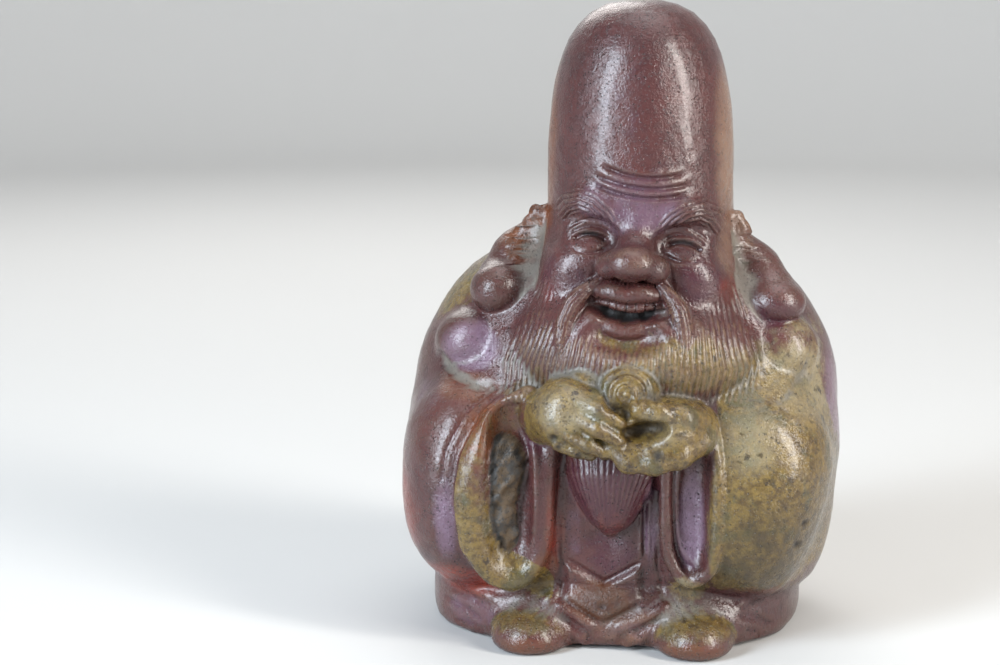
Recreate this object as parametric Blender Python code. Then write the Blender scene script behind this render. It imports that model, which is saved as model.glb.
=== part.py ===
"""A seated figure of Fukurokuju, god of long life, in glazed stoneware.

One fired piece with a flat underside. The soft masses of robe and head are
fused, hollowed, joined by ears, face, hands and feet, and then carved.
Metres, +Z up. The figure faces -Y and its left sleeve, as seen, is at -X.
The origin is on the underside, below the middle of the head.
"""
import math

import bmesh
import bpy
import numpy as np
from mathutils import Euler, Matrix, Vector

# Driving size: from the flat underside to the top of the skull
HEIGHT = 0.200

# Pose, proportions and carving are shares of the height. They are counted in
# parts, and the figure is 200 parts high.
PARTS_HIGH = 200
PART = HEIGHT / PARTS_HIGH

# Fineness of the modelling, in parts
MASS_VOXEL = 1.5
MASS_SMOOTHING = 14
DETAIL_VOXEL = 1.0
DETAIL_SMOOTHING = 4
TRIANGLES = 9400

# The face leans to the figure's left: it has a frame of its own, in which fx
# runs across the face and fz up it, from a point between the cheeks
FACE_X = 5.5
FACE_Z = 120.0
FACE_LEAN = math.radians(4.5)

# Skull: the middle of the tall dome
SKULL_X = 5.4
SKULL_Y = -4.0
SKULL_RADIUS = 29.6

# Beard fan: its middle, and the number of its locks
BEARD_X = 5.2
BEARD_Z = 92.0
BEARD_LOCKS = 15

# Feet: the middle of each toe cap
FOOT_X = (-25.0, 26.0)
FOOT_Y = -39.5

GLAZE_COLOUR = (0.175, 0.062, 0.040, 1.0)
GLAZE_ROUGHNESS = 0.28
GLAZE_METALLIC = 0.0


def face_point(fx, y, fz):
    """A point of the leaning face frame, in the figure's frame, in parts."""
    x = FACE_X + fx * math.cos(FACE_LEAN) + fz * math.sin(FACE_LEAN)
    z = FACE_Z - fx * math.sin(FACE_LEAN) + fz * math.cos(FACE_LEAN)
    return (x, y, z)


def ball(bm, centre, radii, turn=(0, 0, 0)):
    """An ellipsoid, turned by three angles in degrees about its middle."""
    spin = Euler([math.radians(a) for a in turn]).to_matrix().to_4x4()
    place = Matrix.Translation(Vector(centre) * PART) @ spin @ Matrix.Diagonal((*radii, 1))
    bmesh.ops.create_icosphere(bm, subdivisions=4, radius=PART, matrix=place)


def barrel(bm, centre, radii, roundness, uprightness, rings=28, sides=72):
    """A swollen box: level rings are superellipses, and so is its profile."""
    loops = []
    for i in range(1, rings):
        rise = math.pi * (i / rings - 0.5)
        share = math.cos(rise) ** (2 / uprightness)
        z = math.copysign(abs(math.sin(rise)) ** (2 / uprightness), rise)
        loop = []
        for k in range(sides):
            angle = 2 * math.pi * k / sides
            c, s = math.cos(angle), math.sin(angle)
            x = share * math.copysign(abs(c) ** (2 / roundness), c)
            y = share * math.copysign(abs(s) ** (2 / roundness), s)
            spot = Vector(centre) + Vector((x * radii[0], y * radii[1], z * radii[2]))
            loop.append(bm.verts.new(spot * PART))
        loops.append(loop)
    for low, high in zip(loops, loops[1:]):
        for k in range(sides):
            n = (k + 1) % sides
            bm.faces.new((low[k], low[n], high[n], high[k]))
    bm.faces.new(reversed(loops[0]))
    bm.faces.new(loops[-1])


def limb(bm, a, ra, b, rb, sides=16, cap_rings=5):
    """A tapered limb: a cone that touches the balls at its two ends."""
    a, b = Vector(a), Vector(b)
    along = b - a
    length = along.length
    frame = along.to_track_quat("Z", "Y").to_matrix()
    lift = math.asin(max(-0.95, min(0.95, (ra - rb) / length)))
    profile = []
    for i in range(cap_rings + 1):
        angle = -math.pi / 2 + (lift + math.pi / 2) * i / cap_rings
        profile.append((ra * math.cos(angle), ra * math.sin(angle)))
    for i in range(cap_rings + 1):
        angle = lift + (math.pi / 2 - lift) * i / cap_rings
        profile.append((rb * math.cos(angle), length + rb * math.sin(angle)))
    first = bm.verts.new((a + frame @ Vector((0, 0, -ra))) * PART)
    last = bm.verts.new((a + frame @ Vector((0, 0, length + rb))) * PART)
    loops = []
    for radius, height in profile[1:-1]:
        loop = []
        for k in range(sides):
            angle = 2 * math.pi * k / sides
            spot = Vector((radius * math.cos(angle), radius * math.sin(angle), height))
            loop.append(bm.verts.new((a + frame @ spot) * PART))
        loops.append(loop)
    for k in range(sides):
        n = (k + 1) % sides
        bm.faces.new((first, loops[0][n], loops[0][k]))
        for low, high in zip(loops, loops[1:]):
            bm.faces.new((low[k], low[n], high[n], high[k]))
        bm.faces.new((last, loops[-1][k], loops[-1][n]))


def run(bm, points, radii):
    """A run of tapered limbs from point to point."""
    ends = list(zip(points, radii))
    for (a, ra), (b, rb) in zip(ends, ends[1:]):
        limb(bm, a, ra, b, rb)


def robe_mass(bm):
    """The wide seated body, its shoulders, the two sleeves and the hem."""
    barrel(bm, (0.6, 4.5, 52), (69.6, 47.5, 50), 2.3, 4)
    ball(bm, (1, 5, 85), (65, 44, 46))
    for side in (-1, 1):
        barrel(bm, (side * 39.5, -15, 50), (29.5, 38, 36), 2.6, 2.6)
    barrel(bm, (-1, 1, 8), (60.5, 46, 17), 2.4, 3.5)


def head_mass(bm):
    """The tall skull, the jaw, the fan of the beard and the muzzle."""
    barrel(bm, (SKULL_X, SKULL_Y, 140), (SKULL_RADIUS, 31, 60.5), 2.0, 2.9)
    ball(bm, (SKULL_X, -8, 110), (33, 29, 30))
    ball(bm, (BEARD_X, -16, BEARD_Z), (42.5, 36, 24), (0, 4, 0))
    ball(bm, (4, -31, 97), (25, 18, 24))
    ball(bm, face_point(-0.6, -34, -11), (15, 9, 9))


def hollows(bm):
    """What is cut from the soft masses: the bay, sleeve mouths, eyes, mouth."""
    ball(bm, (1, -64, 38), (17, 23, 34))
    ball(bm, (-29.8, -56, 49), (9.4, 19, 27), (0, 5, 0))
    ball(bm, (25.6, -57, 45), (6.4, 17, 21), (0, -2, 0))
    for side in (-1, 1):
        ball(bm, face_point(side * 15.5, -38.5, 9.6), (10.5, 9.5, 6.8), (0, 4.5 - side * 6, 0))
    ball(bm, face_point(-0.8, -44.5, -12.2), (11.5, 10.0, 4.4), (0, 4.5, 0))


def feet_and_collar(bm):
    """Toe caps before the hem, and the rolls of cloth below the ears."""
    for x in FOOT_X:
        ball(bm, (x, FOOT_Y, 4.2), (14.2, 15.5, 8.4))
        ball(bm, (x * 1.05, -31, 7), (17.5, 17, 11))
    ball(bm, (-45, -17, 93), (16, 12.5, 12.5))
    ball(bm, (49, -15, 91), (15, 12.5, 12.5))


def sleeve_rims(bm):
    """The thick round edge of each sleeve mouth, and the strips beside them."""
    left = [(-30, -46, 78), (-39, -47.5, 70), (-44.5, -48, 57), (-45.5, -47, 44),
            (-42, -46, 31), (-34, -43.5, 22), (-25, -42.5, 20), (-18.5, -44, 28), (-16.5, -44, 48),
            (-17, -43, 68)]
    run(bm, left, [4.2, 4.6, 4.8, 4.8, 4.6, 4.0, 3.4, 3.0, 2.8, 2.8])
    right = [(32, -47, 72), (35.5, -48, 60), (36, -47, 42), (33, -45, 28),
             (25, -43.5, 21.5), (19, -44, 29), (16.5, -44, 48), (17, -43, 66)]
    run(bm, right, [3.6, 3.8, 3.8, 3.6, 3.2, 2.8, 2.6, 2.6])


def ears(bm):
    """Long ears: a cupped rim by the temple, a broad flap and a heavy lobe."""
    sides = (
        (-1, (-28.5, -5, 127), (-33, -7, 117), (-38, -12, 111), (-38.8, -19.5, 109.2), (9.2, 8.6, 8.8)),
        (1, (36.5, -4, 125.5), (42, -5, 115), (47, -10, 109), (48.8, -16.5, 107.8), (9.9, 8.6, 7.8)),
    )
    for side, cup, low, mid, lobe, size in sides:
        ball(bm, cup, (4.5, 5.0, 8.5), (0, -10 * side, 0))
        run(bm, (cup, low, mid, lobe), (3.4, 8.5, 9.5, 8.0))
        ball(bm, lobe, size)


def face_forms(bm):
    """Eyeballs, cheeks, brows, nose, lips and the two ends of the moustache."""
    lean = math.degrees(FACE_LEAN)
    for side in (-1, 1):
        ball(bm, face_point(side * 15.4, -26.0, 7.2), (8.8, 7.0, 5.4), (0, lean, 0))
        ball(bm, face_point(side * 17.6, -26.0, -2.0), (10.2, 10.4, 8.2), (0, lean, 0))
        ball(bm, face_point(side * 6.6, -40.0, 0.2), (4.0, 4.8, 4.0))
        locks = [face_point(side * 9.5, -39.0, -5.0), face_point(side * 15.2, -41.0, -9.0),
                 face_point(side * 18.8, -42.0, -16.5), face_point(side * 20.0, -46.0, -26.0)]
        run(bm, locks, (1.6, 3.0, 3.3, 1.4))
        brow = [face_point(side * 9.5, -31.5, 15.5), face_point(side * 16.5, -30.0, 18.5),
                face_point(side * 24.5, -21.5, 12.0)]
        run(bm, brow, (1.2, 2.2, 1.8))
    ball(bm, face_point(0, -42.0, 1.6), (7.4, 7.6, 5.8))
    ball(bm, face_point(0, -31.0, 6.5), (6.5, 6.5, 11.0))
    upper = [(-13.0, -37.0, -9.0), (-6.5, -41.6, -7.2), (-0.8, -42.4, -7.0), (5.5, -41.6, -7.2),
             (12.0, -37.0, -9.0)]
    lower = [(-12.0, -37.0, -12.6), (-6.5, -41.4, -16.4), (-0.8, -42.4, -17.8), (5.5, -41.4, -16.4),
             (11.0, -37.0, -12.6)]
    run(bm, [face_point(*p) for p in upper], (1.6, 2.9, 2.8, 2.9, 1.6))
    run(bm, [face_point(*p) for p in lower], (1.4, 2.1, 2.3, 2.1, 1.4))


def beard_tip(bm):
    """The beard's end, hanging to a point below the hands."""
    run(bm, [(1.5, -38, 68), (0.8, -43.0, 50), (0.5, -44.5, 39)], (16, 9, 1.6))


def hands(bm):
    """Both hands before the beard, holding a round knob between them."""
    run(bm, [(-24, -46, 75), (-16, -53, 76), (-6, -56, 73.5)], (8.5, 9.8, 8.0))
    for i in range(4):
        finger = [(-11 - 1.0 * i, -60.5, 79.5 - 3.8 * i), (-3.5 - 1.5 * i, -63, 77 - 3.8 * i),
                  (2.5 - 2.2 * i, -62.5, 73.5 - 3.6 * i)]
        run(bm, finger, (2.6, 2.7, 2.3))
    run(bm, [(28, -46, 71), (21, -53, 70.5), (8, -56, 69)], (8.0, 9.6, 8.5))
    run(bm, [(28, -53, 74.5), (21, -60, 79), (12, -61.5, 79.5), (8, -61, 77.5)], (4.6, 4.0, 3.4, 2.6))
    run(bm, [(27, -56, 67), (17, -62, 64), (7, -62, 65.2), (0, -61, 68.5)], (4.6, 4.4, 4.2, 3.0))
    ball(bm, (6.2, -50, 82), (8.2, 9.5, 6.8))
    ball(bm, (7.0, -57, 81.5), (4.0, 4.0, 3.6))


def make_object(name, builders):
    """An object whose mesh is the closed lumps that the builders add."""
    bm = bmesh.new()
    for build in builders:
        build(bm)
    bmesh.ops.recalc_face_normals(bm, faces=bm.faces)
    mesh = bpy.data.meshes.new(name)
    bm.to_mesh(mesh)
    bm.free()
    obj = bpy.data.objects.new(name, mesh)
    bpy.context.scene.collection.objects.link(obj)
    return obj


def remesh(obj, voxel, smoothing):
    """Fuse the lumps of an object into one skin and soften its joins."""
    fuse = obj.modifiers.new("fuse", "REMESH")
    fuse.mode = "VOXEL"
    fuse.voxel_size = voxel * PART
    soften = obj.modifiers.new("soften", "SMOOTH")
    soften.factor = 0.5
    soften.iterations = smoothing


def baked(obj):
    """The object's own mesh replaced by what its modifiers give."""
    graph = bpy.context.evaluated_depsgraph_get()
    mesh = bpy.data.meshes.new_from_object(obj.evaluated_get(graph), depsgraph=graph)
    obj.modifiers.clear()
    obj.data = mesh
    return obj


def cut(obj, cutter):
    """Cut the cutter's lumps from the object."""
    knife = obj.modifiers.new("hollows", "BOOLEAN")
    knife.operation = "DIFFERENCE"
    knife.object = cutter


def add_lumps(obj, builders):
    """Put more closed lumps into the object's mesh."""
    bm = bmesh.new()
    bm.from_mesh(obj.data)
    for build in builders:
        build(bm)
    bmesh.ops.recalc_face_normals(bm, faces=bm.faces)
    bm.to_mesh(obj.data)
    bm.free()


def line_distance(x, z, points):
    """The distance of each place from a bent line in the x, z plane."""
    nearest = np.full(len(x), 1e9)
    for (ax, az), (bx, bz) in zip(points, points[1:]):
        dx, dz = bx - ax, bz - az
        share = np.clip(((x - ax) * dx + (z - az) * dz) / (dx * dx + dz * dz), 0, 1)
        nearest = np.minimum(nearest, np.hypot(x - ax - share * dx, z - az - share * dz))
    return nearest


def arc(ax, az, bx, bz, sag, steps=8):
    """A parabola from a to b that hangs by the sag at its middle."""
    points = []
    for i in range(steps + 1):
        t = i / steps
        points.append((ax + (bx - ax) * t, az + (bz - az) * t - 4 * sag * t * (1 - t)))
    return points


def carving(x, y, z, front):
    """How far each place is carved inwards, in parts. Ridges are negative."""
    depth = np.zeros(len(x))

    def groove(points, width, deep, mask):
        share = np.clip(line_distance(x, z, points) / width, 0, 1)
        return deep * (1 - share ** 2) ** 2 * mask

    def on_face(points):
        return [(face_point(fx, 0, fz)[0], face_point(fx, 0, fz)[2]) for fx, fz in points]

    # Forehead: three long grooves
    for fz, half in ((28.0, 14.0), (25.0, 15.5), (21.8, 13.0)):
        depth += groove(on_face(arc(-half, fz + 2, half, fz + 1.5, 2.2)), 1.5, 1.0, front)
    # Eyes: the closed slit of each
    for side in (-1, 1):
        slit = on_face(arc(side * 8.5, 7.6, side * 22.0, 6.6, -1.8))
        depth += groove(slit, 1.4, 1.2, front)
    # Beard: locks that run together towards the tip
    spread = 24 + 21 * np.clip((112 - z) / 22, 0, 1)
    middle = BEARD_X - 1.0 * np.clip((92 - z) / 40, 0, 1)
    across = (x - middle) / spread
    fan = (np.abs(across) < 1.0) & (z < 108) & (z > 80) & (y < -24)
    below = on_face([(-20, -12), (-13, -20), (12, -20), (20, -12)])
    chin = np.interp(x, [p[0] for p in below], [p[1] for p in below])
    fan_mask = np.clip((chin - z) / 3, 0, 1) * fan * np.clip((1.0 - np.abs(across)) / 0.08, 0, 1)
    depth += 1.1 * np.abs(np.sin(across * math.pi * BEARD_LOCKS / 2)) ** 0.5 * -fan_mask + 0.7 * fan_mask
    # Tip of the beard
    tip_half = np.clip((z - 37) / 26, 0.05, 1) * 15
    tip = (z < 64) & (z > 38) & (np.abs(x - 0.8) < tip_half) & (y < -36)
    depth += 0.9 * (0.5 - np.abs(np.sin((x - 0.8) / tip_half * math.pi * 2.5))) * tip
    # Skirt: two crossing bands at the front, and the strips beside the bay
    for points in ([(-12, 27), (0, 20.5), (12, 27.5)], [(-13, 21), (0, 12.4), (12.5, 20.5)]):
        depth += groove(points, 2.4, -1.6, front)
    depth += groove([(-13, 60), (-14, 30)], 1.6, 1.0, front)
    depth += groove([(14, 60), (14.5, 30)], 1.6, 1.0, front)
    # Hem: folds that spread over and between the feet
    for x0, x1 in ((-58, -52), (-50, -44), (-8, -3), (10, 5), (46, 40), (56, 50)):
        depth += groove([(x0, 1), (x1, 15)], 2.6, 1.3, front)
    # Sleeves: the groove that marks them off from the hem
    under = [(-66, 22), (-45, 14.5), (-26, 17), (26, 17), (45, 14.5), (66, 22)]
    depth += groove(under, 2.2, 1.2, np.ones(len(x)))
    # Collar: the outer edge of each roll
    depth += groove([(-60, 92), (-54, 84), (-42, 82), (-33, 84)], 2.2, 1.6, front)
    depth += groove([(64, 92), (62, 82), (54, 78), (44, 80)], 2.2, 1.6, front)
    return depth


def carve(obj):
    """Move each vertex inwards along its normal by the carving's depth."""
    mesh = obj.data
    places = np.empty(len(mesh.vertices) * 3, dtype=np.float32)
    mesh.vertices.foreach_get("co", places)
    places = places.reshape(-1, 3)
    normals = np.empty(len(mesh.vertices) * 3, dtype=np.float32)
    mesh.vertex_normals.foreach_get("vector", normals)
    normals = normals.reshape(-1, 3)
    x, y, z = (places / PART).T
    front = np.clip(-normals[:, 1] * 3, 0, 1) * (y < -10)
    places -= normals * (carving(x, y, z, front) * PART)[:, None]
    mesh.vertices.foreach_set("co", places.ravel())
    mesh.update()


def thin_out(obj, triangles):
    """Fewer triangles, where the form is flattest."""
    obj.data.calc_loop_triangles()
    fewer = obj.modifiers.new("fewer", "DECIMATE")
    fewer.ratio = triangles / len(obj.data.loop_triangles)


def stand_flat(obj):
    """Cut the body off level at the origin and close its underside."""
    bm = bmesh.new()
    bm.from_mesh(obj.data)
    everything = bm.verts[:] + bm.edges[:] + bm.faces[:]
    bmesh.ops.bisect_plane(bm, geom=everything, plane_co=(0, 0, 0), plane_no=(0, 0, 1),
                           dist=0.01 * PART, clear_inner=True)
    rim = [e for e in bm.edges if e.is_boundary]
    made = bmesh.ops.holes_fill(bm, edges=rim, sides=0)
    bmesh.ops.triangulate(bm, faces=made["faces"])
    bmesh.ops.recalc_face_normals(bm, faces=bm.faces)
    bm.to_mesh(obj.data)
    bm.free()


def keep_outer_skin(obj):
    """Drop closed pockets and crumbs: keep the one largest body."""
    bm = bmesh.new()
    bm.from_mesh(obj.data)
    left = set(bm.verts)
    bodies = []
    while left:
        group = {left.pop()}
        edge = list(group)
        while edge:
            vert = edge.pop()
            for link in vert.link_edges:
                other = link.other_vert(vert)
                if other in left:
                    left.discard(other)
                    group.add(other)
                    edge.append(other)
        bodies.append(group)
    bodies.sort(key=len)
    for group in bodies[:-1]:
        bmesh.ops.delete(bm, geom=list(group), context="VERTS")
    bm.to_mesh(obj.data)
    bm.free()


def glaze(obj):
    """Red-brown wood-fired stoneware."""
    material = bpy.data.materials.new("ash_glazed_stoneware")
    material.use_nodes = True
    shader = material.node_tree.nodes["Principled BSDF"]
    shader.inputs["Base Color"].default_value = GLAZE_COLOUR
    shader.inputs["Roughness"].default_value = GLAZE_ROUGHNESS
    shader.inputs["Metallic"].default_value = GLAZE_METALLIC
    obj.data.materials.clear()
    obj.data.materials.append(material)


def main():
    for old in list(bpy.data.objects):
        bpy.data.objects.remove(old, do_unlink=True)

    figure = make_object("fukurokuju_figure", (robe_mass, head_mass))
    remesh(figure, MASS_VOXEL, MASS_SMOOTHING)
    baked(figure)

    cutter = make_object("hollow_cutter", (hollows,))
    cutter.hide_render = True
    cutter.display_type = "WIRE"
    cut(figure, cutter)
    baked(figure)
    bpy.data.objects.remove(cutter, do_unlink=True)

    add_lumps(figure, (feet_and_collar, sleeve_rims, ears, face_forms, beard_tip, hands))
    remesh(figure, DETAIL_VOXEL, DETAIL_SMOOTHING)
    baked(figure)
    keep_outer_skin(figure)
    carve(figure)

    thin_out(figure, TRIANGLES)
    baked(figure)
    stand_flat(figure)
    keep_outer_skin(figure)
    figure.data.shade_smooth()
    glaze(figure)


main()
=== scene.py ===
import math
import bpy
import numpy as np
from mathutils import Matrix, Vector


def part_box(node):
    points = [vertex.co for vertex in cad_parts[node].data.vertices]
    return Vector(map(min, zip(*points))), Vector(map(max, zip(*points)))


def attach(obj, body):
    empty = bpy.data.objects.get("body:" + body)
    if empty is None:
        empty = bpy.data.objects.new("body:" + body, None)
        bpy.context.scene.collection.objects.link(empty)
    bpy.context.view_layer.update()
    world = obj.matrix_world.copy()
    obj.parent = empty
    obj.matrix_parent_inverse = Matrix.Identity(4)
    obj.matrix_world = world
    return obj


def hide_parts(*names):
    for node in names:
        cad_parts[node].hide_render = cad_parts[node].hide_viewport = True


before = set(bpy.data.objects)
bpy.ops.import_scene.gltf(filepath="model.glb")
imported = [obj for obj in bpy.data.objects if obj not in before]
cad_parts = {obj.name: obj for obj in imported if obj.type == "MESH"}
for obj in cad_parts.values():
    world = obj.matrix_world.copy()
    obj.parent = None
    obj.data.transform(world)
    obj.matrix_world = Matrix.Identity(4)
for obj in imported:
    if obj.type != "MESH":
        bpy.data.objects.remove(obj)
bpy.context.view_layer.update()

# The figure is modelled in millimetres on its own height of 200 and made metres at the end
nodeName = "fukurokuju_figure"
partsHigh = 200
metre = round(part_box(nodeName)[1][2], 3) / partsHigh
front = -1  # the face looks along -Y

# Grid of the skin: columns go round the figure, rows climb from the base to the crown
skin = {
    "columns": 352,
    "faceShare": 7.0,        # how much closer the columns stand at the front
    "faceSpread": 1.16,      # half angle of the close columns, radians
    "farthest": 100,         # rays start this far out
    "nearest": 2,            # and give up this close to the spine
    "stride": 0.7,           # share of the distance left that a ray walks at a time
    "strideLimits": (0.5, 5),
    "halvings": 8,           # of a ray's last step
    "probe": 0.12,           # corner distance of the tetrahedron that measures a slope
    "relaxing": 12,          # rounds that even the grid out on the clay
    "pull": 0.4,             # how far each point goes to its neighbours' middle
    "dropLimit": 1.2,        # longest step back to the clay in one round
    "calming": 3,            # rounds that smooth the columns of the lower front
    "baseBevel": 1.2,
    "spineEnd": (5.4, -4, 140),  # the spine bends from the origin to here, then stands upright
}


# Clay: each form gives the distance of points from its skin, negative inside

def turned(ax, ay, az):
    # Turns about x, then y, then z, in degrees, as one matrix
    ax, ay, az = np.radians([ax, ay, az])
    rx = np.array([[1, 0, 0], [0, np.cos(ax), -np.sin(ax)], [0, np.sin(ax), np.cos(ax)]])
    ry = np.array([[np.cos(ay), 0, np.sin(ay)], [0, 1, 0], [-np.sin(ay), 0, np.cos(ay)]])
    rz = np.array([[np.cos(az), -np.sin(az), 0], [np.sin(az), np.cos(az), 0], [0, 0, 1]])
    return (rz @ ry @ rx).astype(np.float32)


def melt(a, b, soft):
    # The nearer of two skins, with the joint filled over the width soft by a parabola
    h = np.clip(0.5 + 0.5 * (b - a) / soft, 0, 1)
    return b + (a - b) * h - soft * h * (1 - h)


def scoop(a, b, soft):
    # Form a with form b taken out of it, the edge rounded over the width soft
    return -melt(-a, b, soft)


def ball(p, centre, radii, angles=None):
    # Ellipsoid: k(k-1)/g, with k the point's length in radii and g its slope
    q = p - np.float32(centre)
    if angles is not None:
        q = q @ turned(*angles)
    r = np.float32(radii)
    k = np.sqrt(((q / r) ** 2).sum(1))
    g = np.sqrt(((q / (r * r)) ** 2).sum(1)) + 1e-9
    return k * (k - 1) / g


def sack(p, centre, radii, roundness, uprightness):
    # Swollen box: level cuts are superellipses, and so is the upright profile
    q = p - np.float32(centre)
    a = np.abs(q) / np.float32(radii)
    flat = (a[:, 0] ** roundness + a[:, 1] ** roundness) ** (1 / roundness)
    k = (flat ** uprightness + a[:, 2] ** uprightness) ** (1 / uprightness) + 1e-6
    return np.sqrt((q * q).sum(1)) * (1 - 1 / k) * 0.85


def strand(p, points, radii, soft=None):
    # Run of tapered limbs: distance to each leg less a radius that changes along it
    d = None
    for a, b, ra, rb in zip(points, points[1:], radii, radii[1:]):
        a, b = np.float32(a), np.float32(b)
        leg = b - a
        t = np.clip(((p - a) @ leg) / (leg @ leg), 0, 1)
        q = p - a - t[:, None] * leg
        limb = np.sqrt((q * q).sum(1)) - (ra + (rb - ra) * t)
        d = limb if d is None else (np.minimum(d, limb) if soft is None else melt(d, limb, soft))
    return d


def smoothRun(points, sizes, steps=3):
    # Catmull-Rom curve through points and their sizes: half of 2b + (c-a)t + (2a-5b+4c-d)tt + (3b-a-3c+d)ttt
    run = np.column_stack([points, sizes])
    run = np.vstack([2 * run[0] - run[1], run, 2 * run[-1] - run[-2]])
    t = np.linspace(0, 1, steps, endpoint=False)[None, :, None]
    a, b, c, d = (run[i:len(run) - 3 + i, None] for i in range(4))
    fine = (2 * b + (c - a) * t + (2 * a - 5 * b + 4 * c - d) * t ** 2 + (3 * b - a - 3 * c + d) * t ** 3) / 2
    fine = np.vstack([fine.reshape(-1, run.shape[1]), run[-2]])
    return fine[:, :3], fine[:, 3]


reach = {  # low and high corner of a box round each form
    "front": ((-70, -64, -8), (72, 4, 112)), "head": ((-70, -74, 52), (80, 50, 999)),
    "ears": ((-56, -38, 92), (68, 12, 146)), "face": ((-34, -64, 84), (46, -12, 152)),
    "tip": ((-26, -70, 26), (26, -18, 92)), "hands": ((-44, -80, 46), (46, -28, 104)),
}


def onlyIn(d, p, name, shape):
    # Works a form into d at the points in its box only, where alone it can matter
    low, high = reach[name]
    pick = np.nonzero(((p > np.float32(low)) & (p < np.float32(high))).all(1))[0]
    if len(pick):
        d[pick] = shape(d[pick], p[pick])
    return d


# The face leans: across and up the face are turned from x and z about its middle
face = {"middle": (5.5, 120.0), "lean": math.radians(4.5)}


def facePlace(across, y, up):
    # x and z of a place on the face: across and up turned back by the lean
    c, s = math.cos(face["lean"]), math.sin(face["lean"])
    return (face["middle"][0] + across * c + up * s, y, face["middle"][1] - across * s + up * c)


def faceFrame(p):
    # Each point's distance across and up the leaning face
    c, s = math.cos(face["lean"]), math.sin(face["lean"])
    x, z = p[:, 0] - face["middle"][0], p[:, 2] - face["middle"][1]
    return x * c - z * s, x * s + z * c


robe = {
    "body": ((0.6, 4.5, 52), (69.6, 47.5, 50), 2.3, 4.0),
    "shoulders": ((1, 5, 85), (65, 44, 46)),
    "sleeve": ((39.5, -15, 50), (29.5, 38, 36), 2.6, 2.6),
    "bay": ((-2.0, -64, 38), (15.5, 22.5, 34)),
    "hem": ((-1, 1, 8), (60.5, 46, 17), 2.4, 3.5),
    # Height, and how far the right side draws in there
    "drawnIn": ((0, 1.5), (16, 2.0), (24, 4.5), (32, 4.5), (42, 3.0), (58, 0.0)),
    "shoes": ((-25.3, -39.5, 4.2), (26.0, -39.5, 4.6)),
    "shoeSize": (13.2, 15.5, 8.6),
    "insteps": ((-26.312, -28, 7), (27.04, -28, 7)),
    "instepSize": (17.5, 15.5, 10.5),
    "rolls": (((-46, -17.5, 93), (13, 12.5, 10.5)), ((50.5, -15, 92), (12.5, 12.5, 11.5))),
}


def shoesShape(p):
    # Two low toe caps side by side
    return np.minimum(*[ball(p, place, robe["shoeSize"]) for place in robe["shoes"]])


def rollsShape(p):
    # The rolls of cloth that lie under the ear lobes
    return np.minimum(*[ball(p, *roll) for roll in robe["rolls"]])


def robeForm(p):
    # Wide seated body melted with shoulders and sleeves, the bay between them scooped out
    p = p.copy()
    drawn = np.interp(p[:, 2], *zip(*robe["drawnIn"]))
    p[:, 0] += drawn * rise(p[:, 0], 36, 58) * rise(14 - p[:, 1], 0, 30)
    d = sack(p, *robe["body"])
    d = melt(d, ball(p, *robe["shoulders"]), 8)
    (sx, sy, sz), size, roundness, uprightness = robe["sleeve"]
    for side in (-1, 1):
        d = melt(d, sack(p, (side * sx, sy, sz), size, roundness, uprightness), 6)
    d = scoop(d, ball(p, *robe["bay"]), 2)
    hem = sack(p, *robe["hem"])
    for place in robe["insteps"]:
        hem = melt(hem, ball(p, place, robe["instepSize"]), 4)
    d = melt(d, hem, 1.4)
    return onlyIn(d, p, "front", frontOfRobe)


mouths = {
    "leftRim": [
        (-26, -44.5, 80.5), (-35, -48.5, 74), (-41, -50.2, 62), (-43.4, -50.4, 50), (-42.4, -49.6, 38),
        (-38.2, -48.0, 27.8), (-31, -46.4, 22.4), (-24.6, -45.8, 26), (-21, -46.0, 36), (-20, -46.2, 50),
        (-18.8, -45.4, 66),
    ],
    "leftSize": (3.8, 4.4, 4.9, 5.0, 4.8, 4.4, 3.8, 2.9, 2.5, 2.4, 2.4),
    "leftHollow": ((-30.2, -62, 54), (8.6, 16.6, 28.8), 2.6, 5),
    "rightRim": [
        (30, -49.0, 73), (32.6, -51.4, 60), (33.0, -51.4, 44), (31.6, -50.2, 32), (28.6, -48.6, 26.6),
        (24.1, -47.6, 24.4), (19.8, -47.0, 28.2), (17.3, -47.2, 36), (16.6, -47.4, 48), (16.4, -46.4, 66),
    ],
    "rightSize": (2.5, 2.5, 2.5, 2.5, 2.5, 2.4, 2.3, 2.2, 2.2, 2.2),
    "rightHollow": ((24.9, -61.5, 53), (6.2, 15.6, 26.2), 3.0, 6),
    "scar": (
        ((-33.6, -46.6, 60.0), (7.0, 4.4, 9.4)), ((-34.6, -47.2, 48), (4.8, 3.4, 9.0)),
        ((-32.4, -46.0, 38), (3.4, 2.2, 6.0)),
    ),
}


def scarShape(p):
    # Kiln crust stuck to the left mouth's wall
    upper, middle, lower = (ball(p, *lump) for lump in mouths["scar"])
    return melt(melt(upper, middle, 5.0), lower, 4.0)


def frontOfRobe(d, p):
    # Sleeve mouths with thick rims, toe caps and the rolls of cloth below the ears
    d = melt(d, strand(p, *smoothRun(mouths["leftRim"], mouths["leftSize"])), 2.0)
    d = melt(d, strand(p, *smoothRun(mouths["rightRim"], mouths["rightSize"])), 1.0)
    d = scoop(d, sack(p, *mouths["leftHollow"]), 1.4)
    d = scoop(d, sack(p, *mouths["rightHollow"]), 0.8)
    d = melt(d, scarShape(p), 0.6)
    d = melt(d, shoesShape(p), 0.8)
    return melt(d, rollsShape(p), 2.2)


head = {
    "skull": ((5.4, -4, 140), (29.6, 31, 60.5), 2.0, 2.9),
    "jaw": ((5.4, -8, 110), (33, 29, 30)),
    "beard": ((5.2, -16, 92), (42.5, 36, 24), (0, 4, 0)),
    "beardMiddle": ((4, -31, 91), (25, 18.5, 21)),
    "tip": [(0.5, -37, 68), (-0.2, -41.5, 56), (-0.3, -43.6, 47), (-0.3, -44.9, 38.8)],
    "tipSize": (18, 13.2, 8.6, 1.8),
}


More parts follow.
